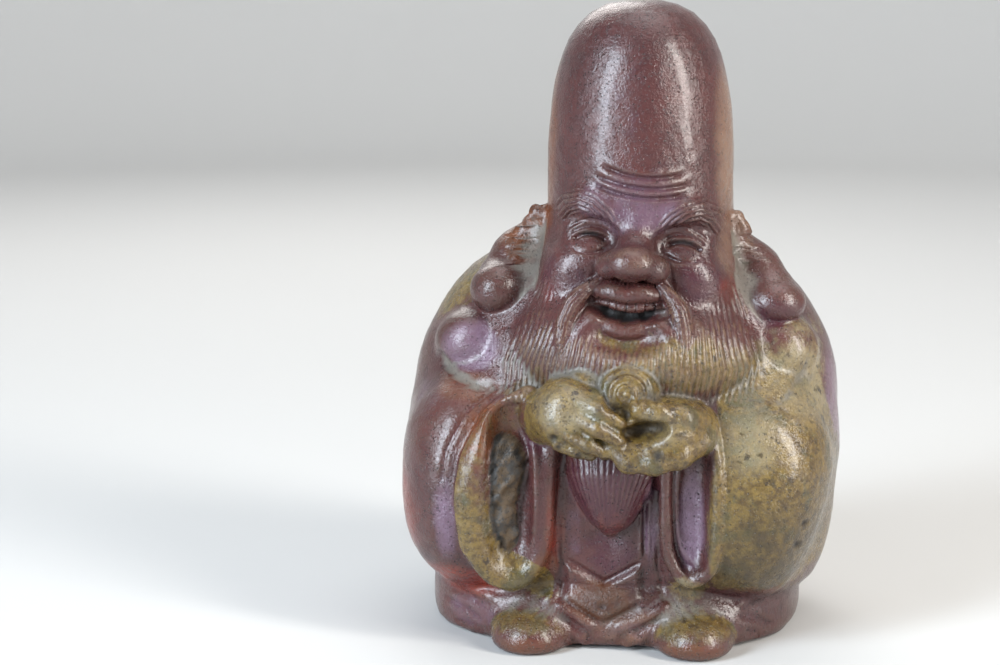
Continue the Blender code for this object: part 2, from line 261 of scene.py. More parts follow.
def headForm(d, p):
    # Skull, jaw and the fan of the beard melted together, then ears and face
    h = sack(p, *head["skull"])
    h = melt(h, ball(p, *head["jaw"]), 8)
    beard = melt(ball(p, *head["beard"]), ball(p, *head["beardMiddle"]), 8)
    h = melt(h, beard, 4)
    h = onlyIn(h, p, "ears", earForms)
    h = onlyIn(h, p, "face", faceForms)
    return melt(d, h, 1.2)


ears = (
    {
        "flap": [(-28, -4.5, 127.5), (-33.5, -6, 119), (-38, -12, 112)],
        "lobe": ((-38.2, -20, 110.1), (9.1, 9, 8)),
        "rim": [(-25, -11, 126), (-25.4, -10.5, 132.6), (-27.8, -9.5, 134.3), (-30.7, -9.5, 131.2),
                (-32.9, -10.8, 127), (-34.3, -13.5, 123.2), (-33.2, -17, 119.4), (-30.8, -20, 114.8)],
        "rimSize": (1.3, 1.7, 1.9, 1.8, 1.6, 1.5, 1.3, 0.8),
        "cup": ((-28.6, -13.5, 128), (2.5, 4.6, 4.6)),
        "fold": [(-30.4, -15.5, 124), (-29.4, -19.5, 117)],
        "hole": (-26.6, -13.5, 123.4),
    },
    {
        "flap": [(36, -3.5, 125), (42, -5, 116), (47, -9.5, 110)],
        "lobe": ((49.0, -15.6, 107.0), (9.4, 9, 7.3)),
        "rim": [(33.4, -10.5, 127), (34.4, -9.5, 132.6), (36.6, -9, 133), (38.9, -9.5, 130),
                (40.5, -11, 125), (41.6, -13.5, 119.4)],
        "rimSize": (1.3, 1.7, 1.9, 1.8, 1.6, 0.8),
        "cup": ((36.4, -12.8, 128), (2.1, 4.4, 3.8)),
        "fold": [(38.6, -13.5, 122), (38.8, -16.5, 115)],
        "hole": (35.8, -12.5, 122.4),
    },
)
earSizes = {"flap": (4.6, 7.6, 8.2), "fold": (1.5, 1.1), "hole": (1.0, 3.4, 1.5)}


def lobesShape(p):
    # The two heavy lobes
    return np.minimum(*[ball(p, *ear["lobe"]) for ear in ears])


def earForms(h, p):
    # A flap that widens down to the heavy lobe, an arched rim over a hollow cup
    for ear in ears:
        d = strand(p, ear["flap"], earSizes["flap"], 4)
        d = scoop(d, ball(p, *ear["cup"]), 1.0)
        d = melt(d, ball(p, *ear["lobe"]), 3.0)
        d = melt(d, strand(p, ear["rim"], ear["rimSize"], 1), 0.8)
        d = scoop(d, strand(p, ear["fold"], earSizes["fold"]), 0.8)
        h = melt(h, d, 1.6)
        h = scoop(h, ball(p, ear["hole"], earSizes["hole"]), 0.5)
    return h


mouthParts = {
    "upperLip": [
        (-13.4, -37.6, -8.8), (-10.2, -40.6, -7.6), (-6.0, -43.0, -6.6), (-1.0, -43.8, -7.3),
        (4.0, -43.0, -6.4), (8.4, -40.6, -7.4), (11.8, -37.8, -8.8),
    ],
    "upperSize": (0.8, 2.0, 2.7, 2.5, 2.7, 2.0, 0.8),
    "lowerLip": [
        (-12.8, -37.8, -12.2), (-9.8, -41.2, -15.2), (-5.6, -44.0, -17.4), (-0.8, -44.9, -18.2),
        (4.2, -44.0, -17.4), (8.4, -41.2, -15.2), (11.4, -37.8, -12.2),
    ],
    "lowerSize": (0.6, 1.6, 2.1, 2.2, 2.1, 1.6, 0.6),
    "teeth": [
        (-10.4, -39.2, -9.9), (-5.0, -41.8, -10.6), (-0.6, -42.3, -10.9), (3.6, -41.8, -10.6),
        (9.0, -39.0, -9.9),
    ],
    "toothSize": (0.9, 1.7, 1.8, 1.7, 0.9),
    "gap": [(-12.0, -11.4), (-6.6, -13.2), (-0.8, -13.9), (5.0, -13.3), (10.8, -11.4)],
    "gapSize": (1.7, 2.1, 2.2, 2.1, 1.7),
    "gapDepth": 0.3,          # how much y counts against x and z in the gap
    "gapFront": -46.0,
    "gapShare": 1.6,          # how much of the gap's distance counts
}
locks = {
    -1: (
        [
            (-9.3, -40.2, -3.8), (-13.6, -42.0, -6.8), (-17.0, -43.2, -11.2), (-18.9, -44.0, -16.6),
            (-19.4, -45.8, -23.0), (-18.6, -47.2, -28.5),
        ],
        (1.1, 2.2, 2.9, 2.9, 2.1, 0.7),
    ),
    1: (
        [
            (8.3, -40.2, -3.4), (12.2, -42.0, -6.4), (15.2, -43.4, -10.4), (16.8, -44.2, -15.6),
            (17.9, -45.8, -21.6), (18.2, -47.2, -27.5),
        ],
        (1.1, 2.3, 3.1, 3.2, 2.1, 0.7),
    ),
}


# at: across, y and up; off: added to a mirrored across; turn: beyond the lean, unturned without it
faceParts = {
    "bridge": {"at": (0, -31, 8.0), "size": (7.5, 5.4, 10.5), "turn": 0},
    "brow": {"run": [(6.0, -31.4, 13.2), (11.5, -31.2, 17.4), (17.5, -29.2, 18.4), (23.4, -24.6, 13.2)],
             "size": (1.8, 3.2, 3.2, 1.6)},
    "socket": {"at": (14.9, -38.6, 8.4), "size": (11.4, 9.4, 8.2), "turn": -6},
    "eyeball": {"at": (14.6, -25.0, 8.2), "size": (9.6, 6.4, 6.8), "turn": 3},
    "lid": {"run": [(8.6, -30.6, 6.0), (14.4, -31.8, 4.4), (20.0, -28.8, 5.2)], "size": (0.6, 1.1, 0.6)},
    "cheek": {"at": (16.4, -26.6, -0.6), "size": (9.8, 9.6, 7.2), "turn": 14},
    "jowl": {"at": (19.5, -22.6, -8.2), "size": (9.8, 11.4, 10.8)},
    "noseTip": {"at": (-0.4, -41.2, 2.4), "size": (8.3, 8.2, 5.8), "turn": 0},
    "noseWing": {"at": (7.0, -39.4, 0.9), "off": -0.3, "size": (4.5, 5.4, 4.4)},
    "noseRidge": {"run": [(0, -29.6, 13), (-0.2, -34.4, 7)], "size": (5.4, 5.6)},
    "nostril": {"at": (4.0, -44.5, -3.0), "off": -0.6, "size": (1.5, 3.2, 1.3)},
    "muzzle": {"at": (-0.8, -32.5, -9.5), "size": (12.5, 8.5, 8.5)},
    "underMouth": {"at": (-0.8, -54.5, -18.5), "size": (15.0, 10.6, 6.5), "turn": 0},
}


def onFace(points, side=1):
    # Places of points on the leaning face, mirrored by side
    return [facePlace(side * across, y, up) for across, y, up in points]


def faceBall(p, name, side=1):
    # Ellipsoid of a face part, mirrored by side and turned with the lean and by its own turn
    part = faceParts[name]
    across, y, up = part["at"]
    turn = math.degrees(face["lean"]) + side * part["turn"] if "turn" in part else None
    place = facePlace(side * across + part.get("off", 0), y, up)
    return ball(p, place, part["size"], None if turn is None else (0, turn, 0))


def faceRun(p, name, side):
    # Smooth strand of a face part, mirrored by side
    part = faceParts[name]
    return strand(p, *smoothRun(onFace(part["run"], side), part["size"]))


def faceForms(h, p):
    # Brow, eye hollows, lids, cheeks, nose, then mouth and moustache, about the face's middle
    h = melt(h, faceBall(p, "bridge"), 3.0)
    for side in (-1, 1):
        h = melt(h, faceRun(p, "brow", side), 4.0)
        h = scoop(h, faceBall(p, "socket", side), 0.6)
        h = melt(h, faceBall(p, "eyeball", side), 1.6)
        h = melt(h, faceRun(p, "lid", side), 1.4)
        h = melt(h, faceBall(p, "cheek", side), 5.5)
        h = melt(h, faceBall(p, "jowl", side), 6.5)
    nose = faceBall(p, "noseTip")
    for side in (-1, 1):
        nose = melt(nose, faceBall(p, "noseWing", side), 1.8)
    ridge = faceParts["noseRidge"]
    nose = melt(nose, strand(p, onFace(ridge["run"]), ridge["size"]), 3.5)
    h = melt(h, nose, 1.2)
    h = melt(h, faceBall(p, "muzzle"), 2.5)
    for side in (-1, 1):
        h = scoop(h, faceBall(p, "nostril", side), 0.5)
    h = scoop(h, faceBall(p, "underMouth"), 3)
    gap = p.copy()
    gap[:, 1] = (p[:, 1] - mouthParts["gapFront"]) * mouthParts["gapDepth"]
    gapLine = [facePlace(across, 0, up) for across, up in mouthParts["gap"]]
    h = scoop(h, strand(gap, gapLine, mouthParts["gapSize"], 1) * mouthParts["gapShare"], 0.7)
    h = melt(h, strand(p, *smoothRun(onFace(mouthParts["teeth"]), mouthParts["toothSize"])), 0.3)
    for lip in ("upper", "lower"):
        h = melt(h, strand(p, *smoothRun(onFace(mouthParts[lip + "Lip"]), mouthParts[lip + "Size"])), 0.8)
    return melt(h, moustacheShape(p), 0.6)


def moustacheShape(p):
    # The nearer of the two locks
    return np.minimum(*[strand(p, *smoothRun(onFace(points), sizes)) for points, sizes in locks.values()])


def lipsShape(p):
    # The nearer of the two lips, straight from point to point
    return np.minimum(strand(p, onFace(mouthParts["upperLip"]), mouthParts["upperSize"]),
                      strand(p, onFace(mouthParts["lowerLip"]), mouthParts["lowerSize"]))


hands = {
    "left": ([(-20, -46.5, 75.5), (-13, -52.5, 77.6), (-5, -53.5, 77)], (8.6, 10.3, 8.6)),
    "fingers": (
        ([(-10.5, -59.4, 83.2), (-3, -61.8, 80.9), (3.4, -61.2, 77.2)], (2.3, 2.6, 2.0)),
        ([(-10, -61.4, 78.4), (-3, -63.3, 75.6), (3.2, -62.3, 71.8)], (2.2, 2.5, 2.0)),
        ([(-12, -61.6, 73.2), (-6, -62.7, 70.4), (-0.8, -61.6, 67.6)], (2.2, 2.4, 1.9)),
        ([(-15, -59.4, 69.6), (-9.5, -60.4, 68), (-5.2, -59.6, 66.6)], (2.2, 2.2, 1.8)),
    ),
    "right": ([(24, -47, 73), (18, -53, 73), (9.5, -54.5, 72)], (8.5, 9.8, 8.8)),
    "thumb": (
        [(26.5, -52, 76.5), (22, -58, 78.3), (15, -61, 80.4), (8.6, -61, 81.4)], (4.2, 3.8, 3.2, 2.7),
    ),
    "rim": (
        [(27, -53, 70.5), (21, -59, 67.4), (14, -61.6, 65.4), (6, -61.6, 65.4), (1.2, -61, 69)],
        (4.6, 4.3, 3.8, 3.3, 2.6),
    ),
    "palm": ((10.8, -65.0, 74.6), (8.2, 9.0, 3.6), (0, -12, 0)),
    "knob": ((5.4, -50.2, 85.0), (9.4, 9.4, 8.0)),
    "behind": ([(-17, -47, 83), (-8.5, -49.5, 86.4), (-2, -49.5, 86)], (4.6, 4.2, 3.2)),
}


def handsShape(p):
    # Two soft fists before the beard, fingers on the left one, the right one cupped
    left = strand(p, *hands["left"], 4)
    for finger in hands["fingers"]:
        left = melt(left, strand(p, *finger, 1), 0.7)
    right = strand(p, *hands["right"], 4)
    right = melt(right, strand(p, *hands["thumb"], 2), 1.0)
    right = melt(right, strand(p, *hands["rim"], 2), 1.0)
    right = scoop(right, ball(p, *hands["palm"]), 1.2)
    behind = melt(ball(p, *hands["knob"]), strand(p, *hands["behind"], 2), 1.2)
    return melt(melt(left, right, 0.7), behind, 0.8)


def tipShape(p):
    # The beard's tapering end below the hands
    return strand(p, head["tip"], head["tipSize"], 3)


def figureForm(p):
    # Robe first, then the beard's tip, the head and the hands, each only near itself
    d = robeForm(p)
    d = onlyIn(d, p, "tip", lambda d, q: melt(d, tipShape(q), 0.8))
    d = onlyIn(d, p, "head", headForm)
    d = onlyIn(d, p, "hands", lambda d, q: melt(d, handsShape(q), 0.8))
    return scoop(d, p[:, 2], skin["baseBevel"])


# Rays leave a spine inside the figure: height on the spine, tilt in degrees, rows up to the next
climb = (
    (14, -90, 2), (16, -66, 2), (20, -38, 5), (30, -27, 26), (46, -22, 22), (56, -12, 11), (67, -12, 12),
    (86, -24, 9), (90, -22, 12), (76, 0, 11), (56, 28, 8), (62, 26, 12), (86, 12, 24), (112, -4, 22),
    (121, -6, 36), (137, -10, 38), (150, -8, 16), (153, 0, 7), (156, 20, 6), (162, 55, 4), (164, 90, 0),
)


def rayFan():
    # Row v and column u give a ray: azimuth from the column's share, tilt and height from the row
    key = np.array(climb, float)
    at = np.concatenate([[0], np.cumsum(key[:-1, 2])])
    rows = np.arange(at[-1] + 1)
    ease = np.hanning(9)[1:-1]
    ease /= ease.sum()

    def eased(values):
        # Moving average with soft weights, past the ends mirrored about them
        half = len(ease) // 2
        low = 2 * values[0] - values[half:0:-1]
        high = 2 * values[-1] - values[-2:-half - 2:-1]
        return np.convolve(np.concatenate([low, values, high]), ease, "valid")

    high = eased(np.interp(rows, at, key[:, 0]))
    tilt = np.radians(eased(np.interp(rows, at, key[:, 1])))
    around = np.linspace(-math.pi, math.pi, 4001)
    close = 1 + skin["faceShare"] / (1 + np.exp((np.abs(around) - skin["faceSpread"]) * 12))
    share = np.concatenate([[0], np.cumsum((close[1:] + close[:-1]) / 2)])
    turn = np.interp(np.arange(skin["columns"]) / skin["columns"], share / share[-1], around)
    endX, endY, endZ = skin["spineEnd"]
    lift = np.clip(high / endZ, 0, 1)
    start = np.stack([endX * lift ** 1.5, endY * lift, high], 1)
    start = np.repeat(start[:, None], skin["columns"], 1)
    flat = np.cos(tilt)[:, None]
    rising = np.repeat(np.sin(tilt)[:, None], len(turn), 1)
    aim = np.stack([np.sin(turn) * flat, front * np.cos(turn) * flat, rising], 2)
    return start.astype(np.float32), aim.astype(np.float32)


def firstTouch(start, aim):
    # Walks each ray inwards by a share of the distance left, then halves the last step
    shape = start.shape[:2]
    start, aim = start.reshape(-1, 3), aim.reshape(-1, 3)
    along = np.full(len(start), skin["farthest"], np.float32)
    outer = along.copy()
    walking = np.arange(len(start))
    while len(walking):
        gap = figureForm(start[walking] + aim[walking] * along[walking, None])
        walking, gap = walking[gap > 0], gap[gap > 0]
        outer[walking] = along[walking]
        along[walking] -= np.clip(skin["stride"] * gap, *skin["strideLimits"])
        walking = walking[along[walking] > skin["nearest"]]
    inner = along
    for _ in range(skin["halvings"]):
        middle = (inner + outer) / 2
        inside = figureForm(start + aim * middle[:, None]) < 0
        inner, outer = np.where(inside, middle, inner), np.where(inside, outer, middle)
    return (start + aim * ((inner + outer) / 2)[:, None]).reshape(*shape, 3)


def slopeAt(q):
    # The form's value and slope from four points of a small tetrahedron
    step = np.float32(skin["probe"])
    slope, value = np.zeros_like(q), np.zeros(len(q), np.float32)
    for corner in ((1, -1, -1), (-1, -1, 1), (-1, 1, -1), (1, 1, 1)):
        corner = np.float32(corner)
        f = figureForm(q + corner * step)
        slope += corner * f[:, None]
        value += f
    return value / 4, slope / (4 * step)


def settled(grid):
    # Evens the grid out by averaging neighbours, then drops each point back on the clay
    shape = grid.shape
    for _ in range(skin["relaxing"]):
        even = (np.roll(grid, 1, 1) + np.roll(grid, -1, 1))[1:-1]
        even = (even + grid[2:] + grid[:-2]) / 4
        moved = grid.copy()
        moved[1:-1] += (even - grid[1:-1]) * skin["pull"]
        q = moved.reshape(-1, 3)
        value, slope = slopeAt(q)
        steep = (slope * slope).sum(1) + 1e-3
        most = skin["dropLimit"] / np.sqrt(steep)
        q = q + slope * np.clip(-value / steep, -most, most)[:, None]
        q[:, 2] = np.maximum(q[:, 2], 0)
        grid = q.reshape(shape)
    return grid


def calmed(grid, where):
    # Each point moves by the share given halfway to the middle of its two neighbours in the row
    for _ in range(skin["calming"]):
        jump = grid - (np.roll(grid, 1, 1) + np.roll(grid, -1, 1)) / 2
        grid = grid - 0.5 * where[..., None] * jump
    return grid


def lowFront(grid):
    # One on the skirt, the hem and the folds between the feet
    x, y, z = (grid[..., i] for i in range(3))
    return rise(30 - z, 0, 6) * rise(-y, 12, 24) * rise(44 - np.abs(x), 0, 10)


def gridNormals(grid):
    # Cross product of the differences to both sides, along the row and up the column
    along = np.roll(grid, -1, 1) - np.roll(grid, 1, 1)
    up = np.gradient(grid, axis=0)
    n = np.cross(along, up)
    return n / (np.linalg.norm(n, axis=2, keepdims=True) + 1e-9)


def meshFromGrid(name, grid, marks):
    # Quads between neighbouring rows, a fan at each pole; marks become point attributes
    rows, columns = grid.shape[:2]
    ring = grid[1:-1].reshape(-1, 3)
    points = np.concatenate([ring, grid[0].mean(0)[None], grid[-1].mean(0)[None]]) * metre
    r, c = np.meshgrid(np.arange(rows - 3), np.arange(columns), indexing="ij")
    here, after = r * columns + c, r * columns + (c + 1) % columns
    quads = np.stack([here, after, after + columns, here + columns], -1).reshape(-1, 4)
    c = np.arange(columns)
    n = (c + 1) % columns
    low, top, last = len(points) - 2, len(points) - 1, (rows - 3) * columns
    lowFan = np.stack([np.full(columns, low), n, c], 1)
    topFan = np.stack([np.full(columns, top), last + c, last + n], 1)
    corners = np.concatenate([quads.ravel(), lowFan.ravel(), topFan.ravel()]).astype(np.int32)
    sizes = np.repeat([4, 3], [len(quads), 2 * columns]).astype(np.int32)
    mesh = bpy.data.meshes.new(name)
    mesh.vertices.add(len(points))
    mesh.vertices.foreach_set("co", points.astype(np.float32).ravel())
    mesh.loops.add(len(corners))
    mesh.loops.foreach_set("vertex_index", corners)
    mesh.polygons.add(len(sizes))
    mesh.polygons.foreach_set("loop_start", np.concatenate([[0], np.cumsum(sizes)[:-1]]).astype(np.int32))
    mesh.update(calc_edges=True)
    mesh.validate()
    for mark, values in marks.items():
        layer = mesh.attributes.new(mark, "FLOAT", "POINT")
        poles = [values[0].mean(), values[-1].mean()]
        flat = np.concatenate([values[1:-1].ravel(), poles])
        layer.data.foreach_set("value", flat.astype(np.float32))
    mesh.shade_smooth()
    obj = bpy.data.objects.new(name, mesh)
    bpy.context.scene.collection.objects.link(obj)
    return obj


# Tooling: what is cut into or laid on the clay, in millimetres outwards

def lineDistance(x, z, points):
    # Signed distance from a bent line, positive to the left of its way, and the share along it
    best = np.full(x.shape, 1e9, np.float32)
    signed, share = best.copy(), np.zeros_like(best)
    lengths = [math.dist(a, b) for a, b in zip(points, points[1:])]
    total, done = sum(lengths), 0.0
    for (ax, az), (bx, bz), length in zip(points, points[1:], lengths):
        dx, dz = (bx - ax) / length, (bz - az) / length
        t = np.clip((x - ax) * dx + (z - az) * dz, 0, length)
        gap = np.hypot(x - ax - t * dx, z - az - t * dz)
        near = gap < best
        side = np.sign((z - az) * dx - (x - ax) * dz)
        best = np.where(near, gap, best)
        signed = np.where(near, gap * side, signed)
        share = np.where(near, (done + t) / total, share)
        done += length
    return best, signed, share


def hump(gap, width):
    # Smooth bump: one at the line, nothing past the width
    return (1 - np.clip(gap / width, 0, 1) ** 2) ** 2


def rise(value, low, high):
    # Smooth step from nothing at low to one at high
    t = np.clip((value - low) / (high - low), 0, 1)
    return t * t * (3 - 2 * t)


def fades(share, start, end=None):
    # One along a line, easing in over its first share and out over its last
    return rise(share, 0, start) * rise(1 - share, 0, start if end is None else end)


def ripple(x, y, z, size, seed):
    # Soft unevenness from a sum of sines along fixed slanting ways
    rng = np.random.default_rng(seed)
    total = np.zeros_like(x)
    for _ in range(7):
        way = rng.normal(size=3)
        way *= rng.uniform(0.6, 1.6) * 2 * math.pi / size / np.linalg.norm(way)
        total += np.sin(x * way[0] + y * way[1] + z * way[2] + rng.uniform(0, 2 * math.pi))
    return total / 7 * 1.9


def bow(ax, az, bx, bz, sag, steps=8):
    # Parabola from a to b that hangs by sag at its middle
    t = np.linspace(0, 1, steps + 1)
    return list(zip(ax + (bx - ax) * t, az + (bz - az) * t - 4 * sag * t * (1 - t)))


hair = {
    "fanStrands": 23, "fanDepth": 0.6,
    "fanHalf": ((60, 15), (80, 40), (90, 41.5), (100, 38), (111, 33.5), (122, 30)),
    "fanMiddle": ((60, 0.8), (84, 4.6), (90, 5.2), (111, 6.3), (122, 6.6)),
    "fanTop": ((0, -19.6), (9, -18.6), (13, -18.0), (17, -21), (22, -14), (25, -8), (29, 0), (33, 5)),
    "tipHalf": ((37, 0.8), (42, 5.7), (49, 10.2), (57.5, 14.6), (72, 18.5)), "tipStrands": 8.5,
    "tipDepth": 0.55, "browPitch": 1.45, "browDepth": 0.48,
    "browLine": [(6.6, 12.6), (10.5, 16.2), (14.5, 18.6), (19, 19.2), (23, 16.6), (25.4, 12.0)],
    "lockLines": 3.2, "lockDepth": 0.34,
}


def beardTooling(x, y, z, across, up):
    # Strands run where the share of the fan's half width stays the same
    half = np.interp(z, *zip(*hair["fanHalf"]))
    share = (x - np.interp(z, *zip(*hair["fanMiddle"]))) / half
    wander = ripple(x, y, z, 24, 3)
    phase = share * hair["fanStrands"] + 0.28 * wander
    strands = np.abs(np.cos(math.pi * phase)) ** 0.6 - 0.6
    side = np.abs(across)
    top = np.interp(side, *zip(*hair["fanTop"])) + 0.8 * wander
    inFan = rise(top - up, 0, 3) * rise(z, 78.5, 80.5) * rise(1.0 - np.abs(share), 0.0, 0.05) * (y < -8)
    deep = hair["fanDepth"] * (0.55 + 0.45 * rise(106 - z, 0, 14)) * (1 + 0.35 * ripple(x, y, z, 9, 4))
    relief = deep * strands * inFan
    tipShare = (x + 0.3) / np.interp(z, *zip(*hair["tipHalf"]))
    inTip = rise(1.0 - np.abs(tipShare), 0.0, 0.1) * rise(73 - z, 0, 2) * rise(z, 36.5, 38) * (y < -34)
    tipWave = np.abs(np.cos(math.pi * (tipShare * hair["tipStrands"] + 0.12 * wander))) ** 0.6 - 0.65
    relief = relief + hair["tipDepth"] * tipWave * inTip * rise(z, 38, 46)
    return relief, inFan, inTip


wrinkles = {
    "forehead": ((28.6, 13.2, 0.85), (25.4, 15.6, 1.0), (22.4, 15.0, 0.95)),  # up, half length, depth
    "lids": (  # ends across and up, sag, depth and half width
        (8.6, 7.2, 20.6, 6.7, -2.0, 1.7, 0.9), (8.2, 9.2, 21.4, 7.9, -2.7, 0.6, 0.75),
        (7.8, 11.2, 22.2, 9.4, -3.0, 0.45, 0.75), (8.8, 5.0, 20.2, 4.4, 1.2, 0.65, 0.75),
    ),
    "cheek": ([(9.4, 3.6), (11.6, -1.2), (12.4, -5.6)], 0.3, 1.6),
    "browWidth": ((0, 0.25, 0.7, 1), (1.2, 2.6, 3.3, 2.2)),  # share along the brow, half width
    "toothLine": ((-10.4, -5.0, -0.6, 3.6, 9.0), (-9.9, -10.6, -10.9, -10.6, -9.9)),  # across, up
    "toothPitch": 2.9, "toothGap": (0.7, 0.34), "toothMiddle": -0.8, "toothReach": 9.5,
    "lip": (-9.8, -14.9, 8.2, -14.7, 3.4), "lipLifts": (0.5, -0.9),
}


def browTooling(a, up):
    # Curved hairs across the brow, by the signed distance from its line
    gap, signed, share = lineDistance(a, up, hair["browLine"])
    wide = np.interp(share, *wrinkles["browWidth"])
    brow = rise(wide + 0.5 - gap, 0, 0.9) * fades(share, 0.08, 0.06)
    slant = signed - 3.4 * (share - 0.45)
    arcs = np.abs(np.cos(math.pi * slant / hair["browPitch"])) ** 0.7 - 0.6
    return brow * 2 * hair["browDepth"] * arcs


def lockTooling(across, up, side):
    # Strands along one lock of the moustache
    points, sizes = locks[side]
    gap, signed, share = lineDistance(across, up, [(q[0], q[2]) for q in points])
    wide = np.interp(share, np.linspace(0, 1, len(sizes)), sizes)
    inLock = rise(wide + 0.7 - gap, 0, 1.0) * fades(share, 0.06, 0.05)
    lines = np.abs(np.cos(math.pi * signed / (wide + 0.5) * hair["lockLines"])) ** 0.7 - 0.55
    return inLock * 2 * hair["lockDepth"] * lines


def toothTooling(across, up):
    # Narrow gaps at even steps along the row of teeth
    inTeeth = rise(1.7 - np.abs(up - np.interp(across, *wrinkles["toothLine"])), 0, 0.4)
    aside = across - wrinkles["toothMiddle"]
    turn = aside / wrinkles["toothPitch"]
    deep, wide = wrinkles["toothGap"]
    gap = np.abs(turn - np.round(turn)) * wrinkles["toothPitch"]
    return -deep * hump(gap, wide) * inTeeth * (np.abs(aside) < wrinkles["toothReach"])


def faceTooling(x, y, z, across, up):
    # Forehead grooves, brow hairs, lids, teeth, lip creases and moustache strands
    relief = np.zeros_like(x)
    for height, half, deep in wrinkles["forehead"]:
        gap, _, share = lineDistance(across, up, bow(-half, height + 2.2, half, height + 1.6, 2.6))
        relief -= deep * hump(gap, 1.1) * fades(share, 0.14)
        gap, _, share = lineDistance(across, up, bow(-half, height + 3.8, half, height + 3.2, 2.6))
        relief += 0.5 * hump(gap, 1.7) * fades(share, 0.2)
    for side in (-1, 1):
        a = across * side
        relief += browTooling(a, up)
        for ax, az, bx, bz, sag, deep, wide in wrinkles["lids"]:
            gap, _, share = lineDistance(a, up, bow(ax, az, bx, bz, sag))
            relief -= deep * hump(gap, wide) * fades(share, 0.12)
        points, deep, wide = wrinkles["cheek"]
        gap, _, share = lineDistance(a, up, points)
        relief -= deep * hump(gap, wide) * rise(share, 0, 0.2)
        relief += lockTooling(across, up, side) * (y < -36)
    relief += toothTooling(across, up)
    ax, az, bx, bz, sag = wrinkles["lip"]
    for lift in wrinkles["lipLifts"]:
        gap, _, share = lineDistance(across, up, bow(ax, az + lift, bx, bz + lift, sag))
        relief -= 0.3 * hump(gap, 0.55) * fades(share, 0.1)
    return relief * ((y < -17) & (z > 86) & (z < 156))


def archPoints(centre, radii, start, end, steps=10):
    # Points of an ellipse's arc between two angles in degrees
    turn = np.radians(np.linspace(start, end, steps + 1))
    return list(zip(centre[0] + radii[0] * np.cos(turn), centre[1] + radii[1] * np.sin(turn)))


cloth = {
    "grooves": (  # points across and up, depth, half width
        ([(-15.4, 64), (-16.4, 46), (-16.6, 30), (-15.2, 20)], 1.0, 1.5),
        ([(10.2, 62), (10.1, 44), (10.3, 28)], 0.5, 0.8),
        ([(13.7, 62), (14.1, 44), (14.6, 27), (17, 19)], 1.0, 1.3),
        ([(-53, 13.6), (-46, 12.6), (-41.5, 11.8)], 0.8, 1.4),
        ([(-56, 9.5), (-47, 8.0), (-41, 5.8)], 0.7, 1.5),
        ([(-52, 3.2), (-46, 3.6), (-40, 2.4)], 0.6, 1.2),
        (archPoints((-25.3, 4.6), (18.2, 13.6), 150, 20), 0.5, 2.0),
        (archPoints((26.0, 5.2), (18.2, 13.6), 160, 30), 0.5, 2.0),
        ([(-17, 11.4), (-10, 7.6), (-4.6, 2.6)], 1.2, 1.3),
        ([(1.0, 3.6), (9, 7.4), (16.6, 12.0)], 1.3, 1.3),
        ([(-14.8, 22), (-16.6, 15), (-22, 12.0)], 1.0, 1.2), ([(14.6, 22), (16.4, 17.5), (22, 16)], 0.9, 1.2),
        ([(40, 11.5), (45, 8.6), (51, 3.6)], 0.9, 1.6),
        ([(42, 6.0), (47, 3.0)], 0.6, 1.2),
        ([(-36.6, 82.4), (-43.9, 82.6), (-53.2, 85.4), (-58.5, 91.5)], 1.0, 2.0),
        ([(60.4, 101), (61.2, 92.8), (58.8, 86.0), (53.2, 80.8), (46.5, 78.6)], 1.2, 1.6),
        ([(51.1, 77.6), (61.2, 77.2)], 0.8, 0.9),
        ([(-36.3, 83.0), (-44.8, 76.9), (-50.9, 65.3), (-53.2, 52.0)], 0.5, 1.0),
    ),
    "ridges": (
        ([(9.1, 60), (8.9, 28)], 0.5, 0.9), ([(11.6, 60), (11.8, 29)], 0.5, 0.9),
        ([(-0.7, 6.6), (9.2, 10.4), (19.0, 15.6)], 1.9, 2.9),
        ([(-22, 16.2), (-11, 11.6), (-4.0, 6.6)], 1.9, 2.9),
        ([(3.5, 1.6), (9.5, 5.0), (14.5, 9.0)], 1.2, 1.8),
        ([(-15.5, 8.6), (-10, 4.6), (-6.5, 1.6)], 1.0, 1.8),
        ([(-56, 20.6), (-47.9, 16.0), (-34.3, 13.4)], 1.0, 2.4),
        ([(38, 14.0), (47, 16.4), (57, 21.6)], 1.0, 2.4),
    ),
    "behind": (
        ([(-30, 110), (-40, 84), (-44, 52), (-42, 22)], 1.5, 4.5),
        ([(-12, 112), (-22, 84), (-25, 50), (-21, 20)], 1.6, 4.0),
        ([(8, 111), (4, 82), (-3, 50), (1, 20)], 1.3, 4.0),
        ([(24, 111), (31, 84), (29, 50), (21, 20)], 1.6, 4.2),
        ([(39, 108), (48, 82), (50, 50), (45, 22)], 1.4, 4.5), (bow(-50, 66, -6, 44, 9), 1.1, 3.4),
        (bow(2, 70, 50, 62, 10), 1.1, 3.4), (bow(-24, 92, 28, 88, 8), 1.0, 3.4),
        ([(-58, 16.5), (-30, 14.8), (0, 14.2), (30, 14.8), (58, 16.5)], 1.0, 2.2),
    ),
    "neck": ([(-36, 120), (-22, 114.5), (5, 111.5), (30, 114.0), (44, 118)], 1.6, 4.2),
    "cuff": [
        (-31.5, 83.5), (-40.5, 76), (-46.4, 63.5), (-48.0, 54.5), (-48.3, 47.5), (-46.8, 33.5),
        (-39.2, 22.2), (-29.8, 18.6),
    ],
}
bands = {  # two overlapping V bands on the skirt: a line's height, and its climb away from the middle
    "middle": -2.4, "half": 12.6, "top": (20.2, 0.62), "between": (14.6, 0.42), "low": (9.8, 0.56),
    "upperHigh": 2.0, "lowerHigh": 1.2, "lowGroove": 1.0, "topGroove": 0.8,
    "knot": (-2.2, 12.2, 1.1, 1.8), "knotHole": (-2.6, 14.2, -1.6, 1.2),  # x, z, height, half width
}


